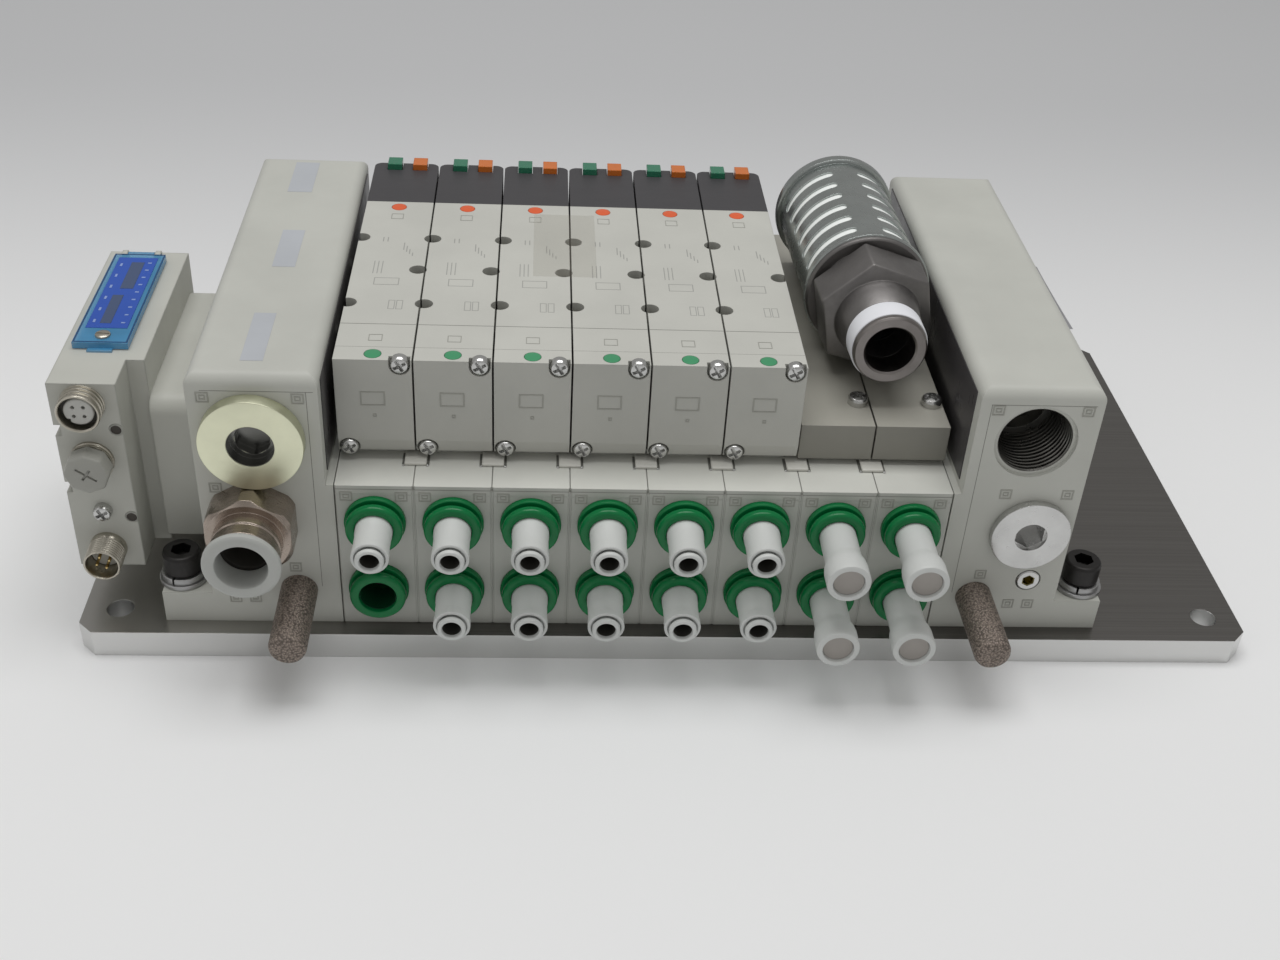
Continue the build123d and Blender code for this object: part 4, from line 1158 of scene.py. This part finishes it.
# Clips over the block seams, each over a dark slab that paints the shade in its pocket
clips = slabs((7.2, 7.8, 1.15), along_row(STATIONS, 0, 15.3, 67.3, first=1), 0.45, 3)
finished(clips, "clip_plates", clip_plastic)
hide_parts("seam_clips")
pocket_shades = slabs((8.8, 7.0, 0.1), along_row(STATIONS, 0, 15.2, 66.74, first=1), 0.03, 1)
finished(pocket_shades, "clip_pocket_shades", pocket_shade_plastic)
stud = turned([(POLE, 0.5), (0.35, 0.45), (0.5, 0.2), (0.5, 0.0), (POLE, 0.0)], 16)
stud_places = along_row(STATIONS, -3.85, 11.6, 66.8, first=1)
stud_places += along_row(STATIONS, 3.85, 11.6, 66.8, first=1)
finished(repeated(stud, stud_places), "clip_studs", zinc)

# Plain override buttons
button = turned(
    [(POLE, 0.2), (2.2, 0.2), (2.55, 0.1), (2.7, -0.1), (2.7, -3.9), (POLE, -3.9)], 40,
)
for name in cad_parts:
    if name.startswith("override"):
        button_at = middle(name)
        button_at.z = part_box(name)[1].z - 0.2 * MM
        cap = copied(button, button_at)
        if name.startswith("override_front"):
            finished(cap, name + "_cap", button_green, name)
        else:
            finished(cap, name + "_cap", button_orange, name)
        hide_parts(name)
bpy.data.objects.remove(button)

# A strip of film stuck across two valves
film_strip = slab((22.0, 48.0, 0.05), place(73.0, 96.0, VALVE_TOP + 0.08))
finished(film_strip, "film_patch", film)

# Faint plain print on the valve tops: short strokes and plain symbol outlines
PRINT_TOP = VALVE_TOP + 0.005
strokes = [
    slabs((0.35, 5.5 - step, 0.02), along_row(VALVES, 16.6 + 1.1 * step, 92 - 2.0 * step, PRINT_TOP))
    for step in range(4)
]
strokes += [
    slabs((0.3, 9.0, 0.02), along_row(VALVES, 7.5 + 1.4 * step, 76, PRINT_TOP)) for step in range(3)
]
strokes += [
    slabs((0.35, 3.4, 0.02), along_row(VALVES, 9.0 + 1.6 * step, 97, PRINT_TOP)) for step in range(2)
]
finished(joined(*strokes), "valve_print", print_grey)
symbols = along_row(VALVES, 12.6, 66.0, VALVE_TOP)
raised_marks("valve_symbols", 8.5, 5.0, 0.3, 0.02, symbols, UP, print_grey)
tick_boxes = along_row(VALVES, 15.6, 50.0, VALVE_TOP) + along_row(VALVES, 18.2, 50.0, VALVE_TOP)
raised_marks("valve_tick_boxes", 2.2, 6.0, 0.25, 0.02, tick_boxes, UP, print_grey)

# Bare labels on the left end block: place from the left and front, width and length
LABELS = ((-24.4, 141.5, 8.8, 26.0), (-22.1, 83.6, 7.7, 27.5), (-23.3, 23.4, 7.0, 29.5))
label_height = left_high.z / MM + 0.04
labels = joined(*[
    slab((width, length, 0.08), place(x, y, label_height), 0.03, 1) for x, y, width, length in LABELS
])
finished(labels, "end_block_labels", label_paper)

PANEL_SET = 2.3 * MM  # how far the dark panels stand inside the end blocks' faces
panel_places = [
    Vector((x, FRONT + 80 * MM, 86 * MM)) for x in (left_high.x - PANEL_SET, right_low.x + PANEL_SET)
]
inner_panels = slabs((0.6, 150.0, 34.0), panel_places, 0.25)
finished(inner_panels, "inner_side_panels", panel_plastic)

# A sliver of label that stands off the right end block's side
deselect()
bpy.ops.mesh.primitive_plane_add(size=1)
sliver = bpy.context.object
sliver.scale = (0.8 * MM, 12 * MM, 1)
settle(sliver)
for vertex in sliver.data.vertices:
    vertex.select = vertex.co.y < 0
for edge in sliver.data.edges:
    edge.select = all(sliver.data.vertices[index].select for index in edge.vertices)
for face in sliver.data.polygons:
    face.select = False
bpy.ops.object.mode_set(mode="EDIT")
for step in range(4):
    bpy.ops.mesh.extrude_region_move(
        TRANSFORM_OT_translate={"value": (0.3 * MM, -7.5 * MM, -0.4 * MM)}
    )
    bpy.ops.transform.resize(value=(1.3, 1, 1))
bpy.ops.object.mode_set(mode="OBJECT")
foil = sliver.modifiers.new("Foil", "SOLIDIFY")
foil.thickness = 0.12 * MM
bpy.ops.object.modifier_apply(modifier=foil.name)
sliver.location = Vector((right_high.x - 15.2 * MM, FRONT + 86 * MM, 102.5 * MM))
settle(sliver)
finished(sliver, "loose_label", label_silver)


# ---- Floor, light and camera -----------------------------------------------------------

deselect()
bpy.ops.mesh.primitive_plane_add(size=12, location=(0, 0, 0))
floor = bpy.context.object
floor.name = "floor"
floor_material, nodes, links, surface = material("pale_floor", (0.74, 0.745, 0.75), 0.6)
surface.inputs["Specular IOR Level"].default_value = 0.2
# Painted light on the floor: bright in front of the island, darker towards the back
falloff_backwards = ranged(nodes, links, object_axis(nodes, links, "Y"), (-0.05, 0.45), course="SMOOTHSTEP")
painted_floor_light = blended(nodes, links, falloff_backwards, (0.85, 0.855, 0.86), (0.54, 0.545, 0.555))
links.new(painted_floor_light, surface.inputs["Base Color"])
floor.data.materials.append(floor_material)

world = bpy.data.worlds.new("studio")
bpy.context.scene.world = world
world.use_nodes = True
world_light = world.node_tree.nodes["Background"]
world_light.inputs["Color"].default_value = (1.0, 0.99, 0.97, 1)
world_light.inputs["Strength"].default_value = 0.37


def lamp(name, location, size, power):
    """A soft square lamp aimed at the island."""
    light = bpy.data.lights.new(name, "AREA")
    light.shape = "RECTANGLE"
    light.size, light.size_y = size
    light.energy = power
    holder = bpy.data.objects.new(name, light)
    bpy.context.collection.objects.link(holder)
    holder.location = location
    towards = Vector((0, 0, 0.05)) - Vector(location)
    holder.rotation_euler = towards.to_track_quat("-Z", "Y").to_euler()


lamp("ceiling", (0.0, 0.08, 1.7), (1.5, 0.8), 16.0)
lamp("window", (-1.4, -0.6, 1.2), (1.2, 1.2), 1.8)
lamp("front_fill", (0.4, -1.5, 1.1), (1.4, 1.0), 0.8)

camera_data = bpy.data.cameras.new("camera")
camera_data.sensor_width = 36
camera_data.lens = 43.27
camera = bpy.data.objects.new("camera", camera_data)
bpy.context.collection.objects.link(camera)
camera.location = place(63.7, -399.4, 355.6)
camera.rotation_euler = (radians(54.527), radians(-2.949), radians(-2.692))
bpy.context.scene.camera = camera
bpy.context.scene.view_settings.view_transform = "Standard"
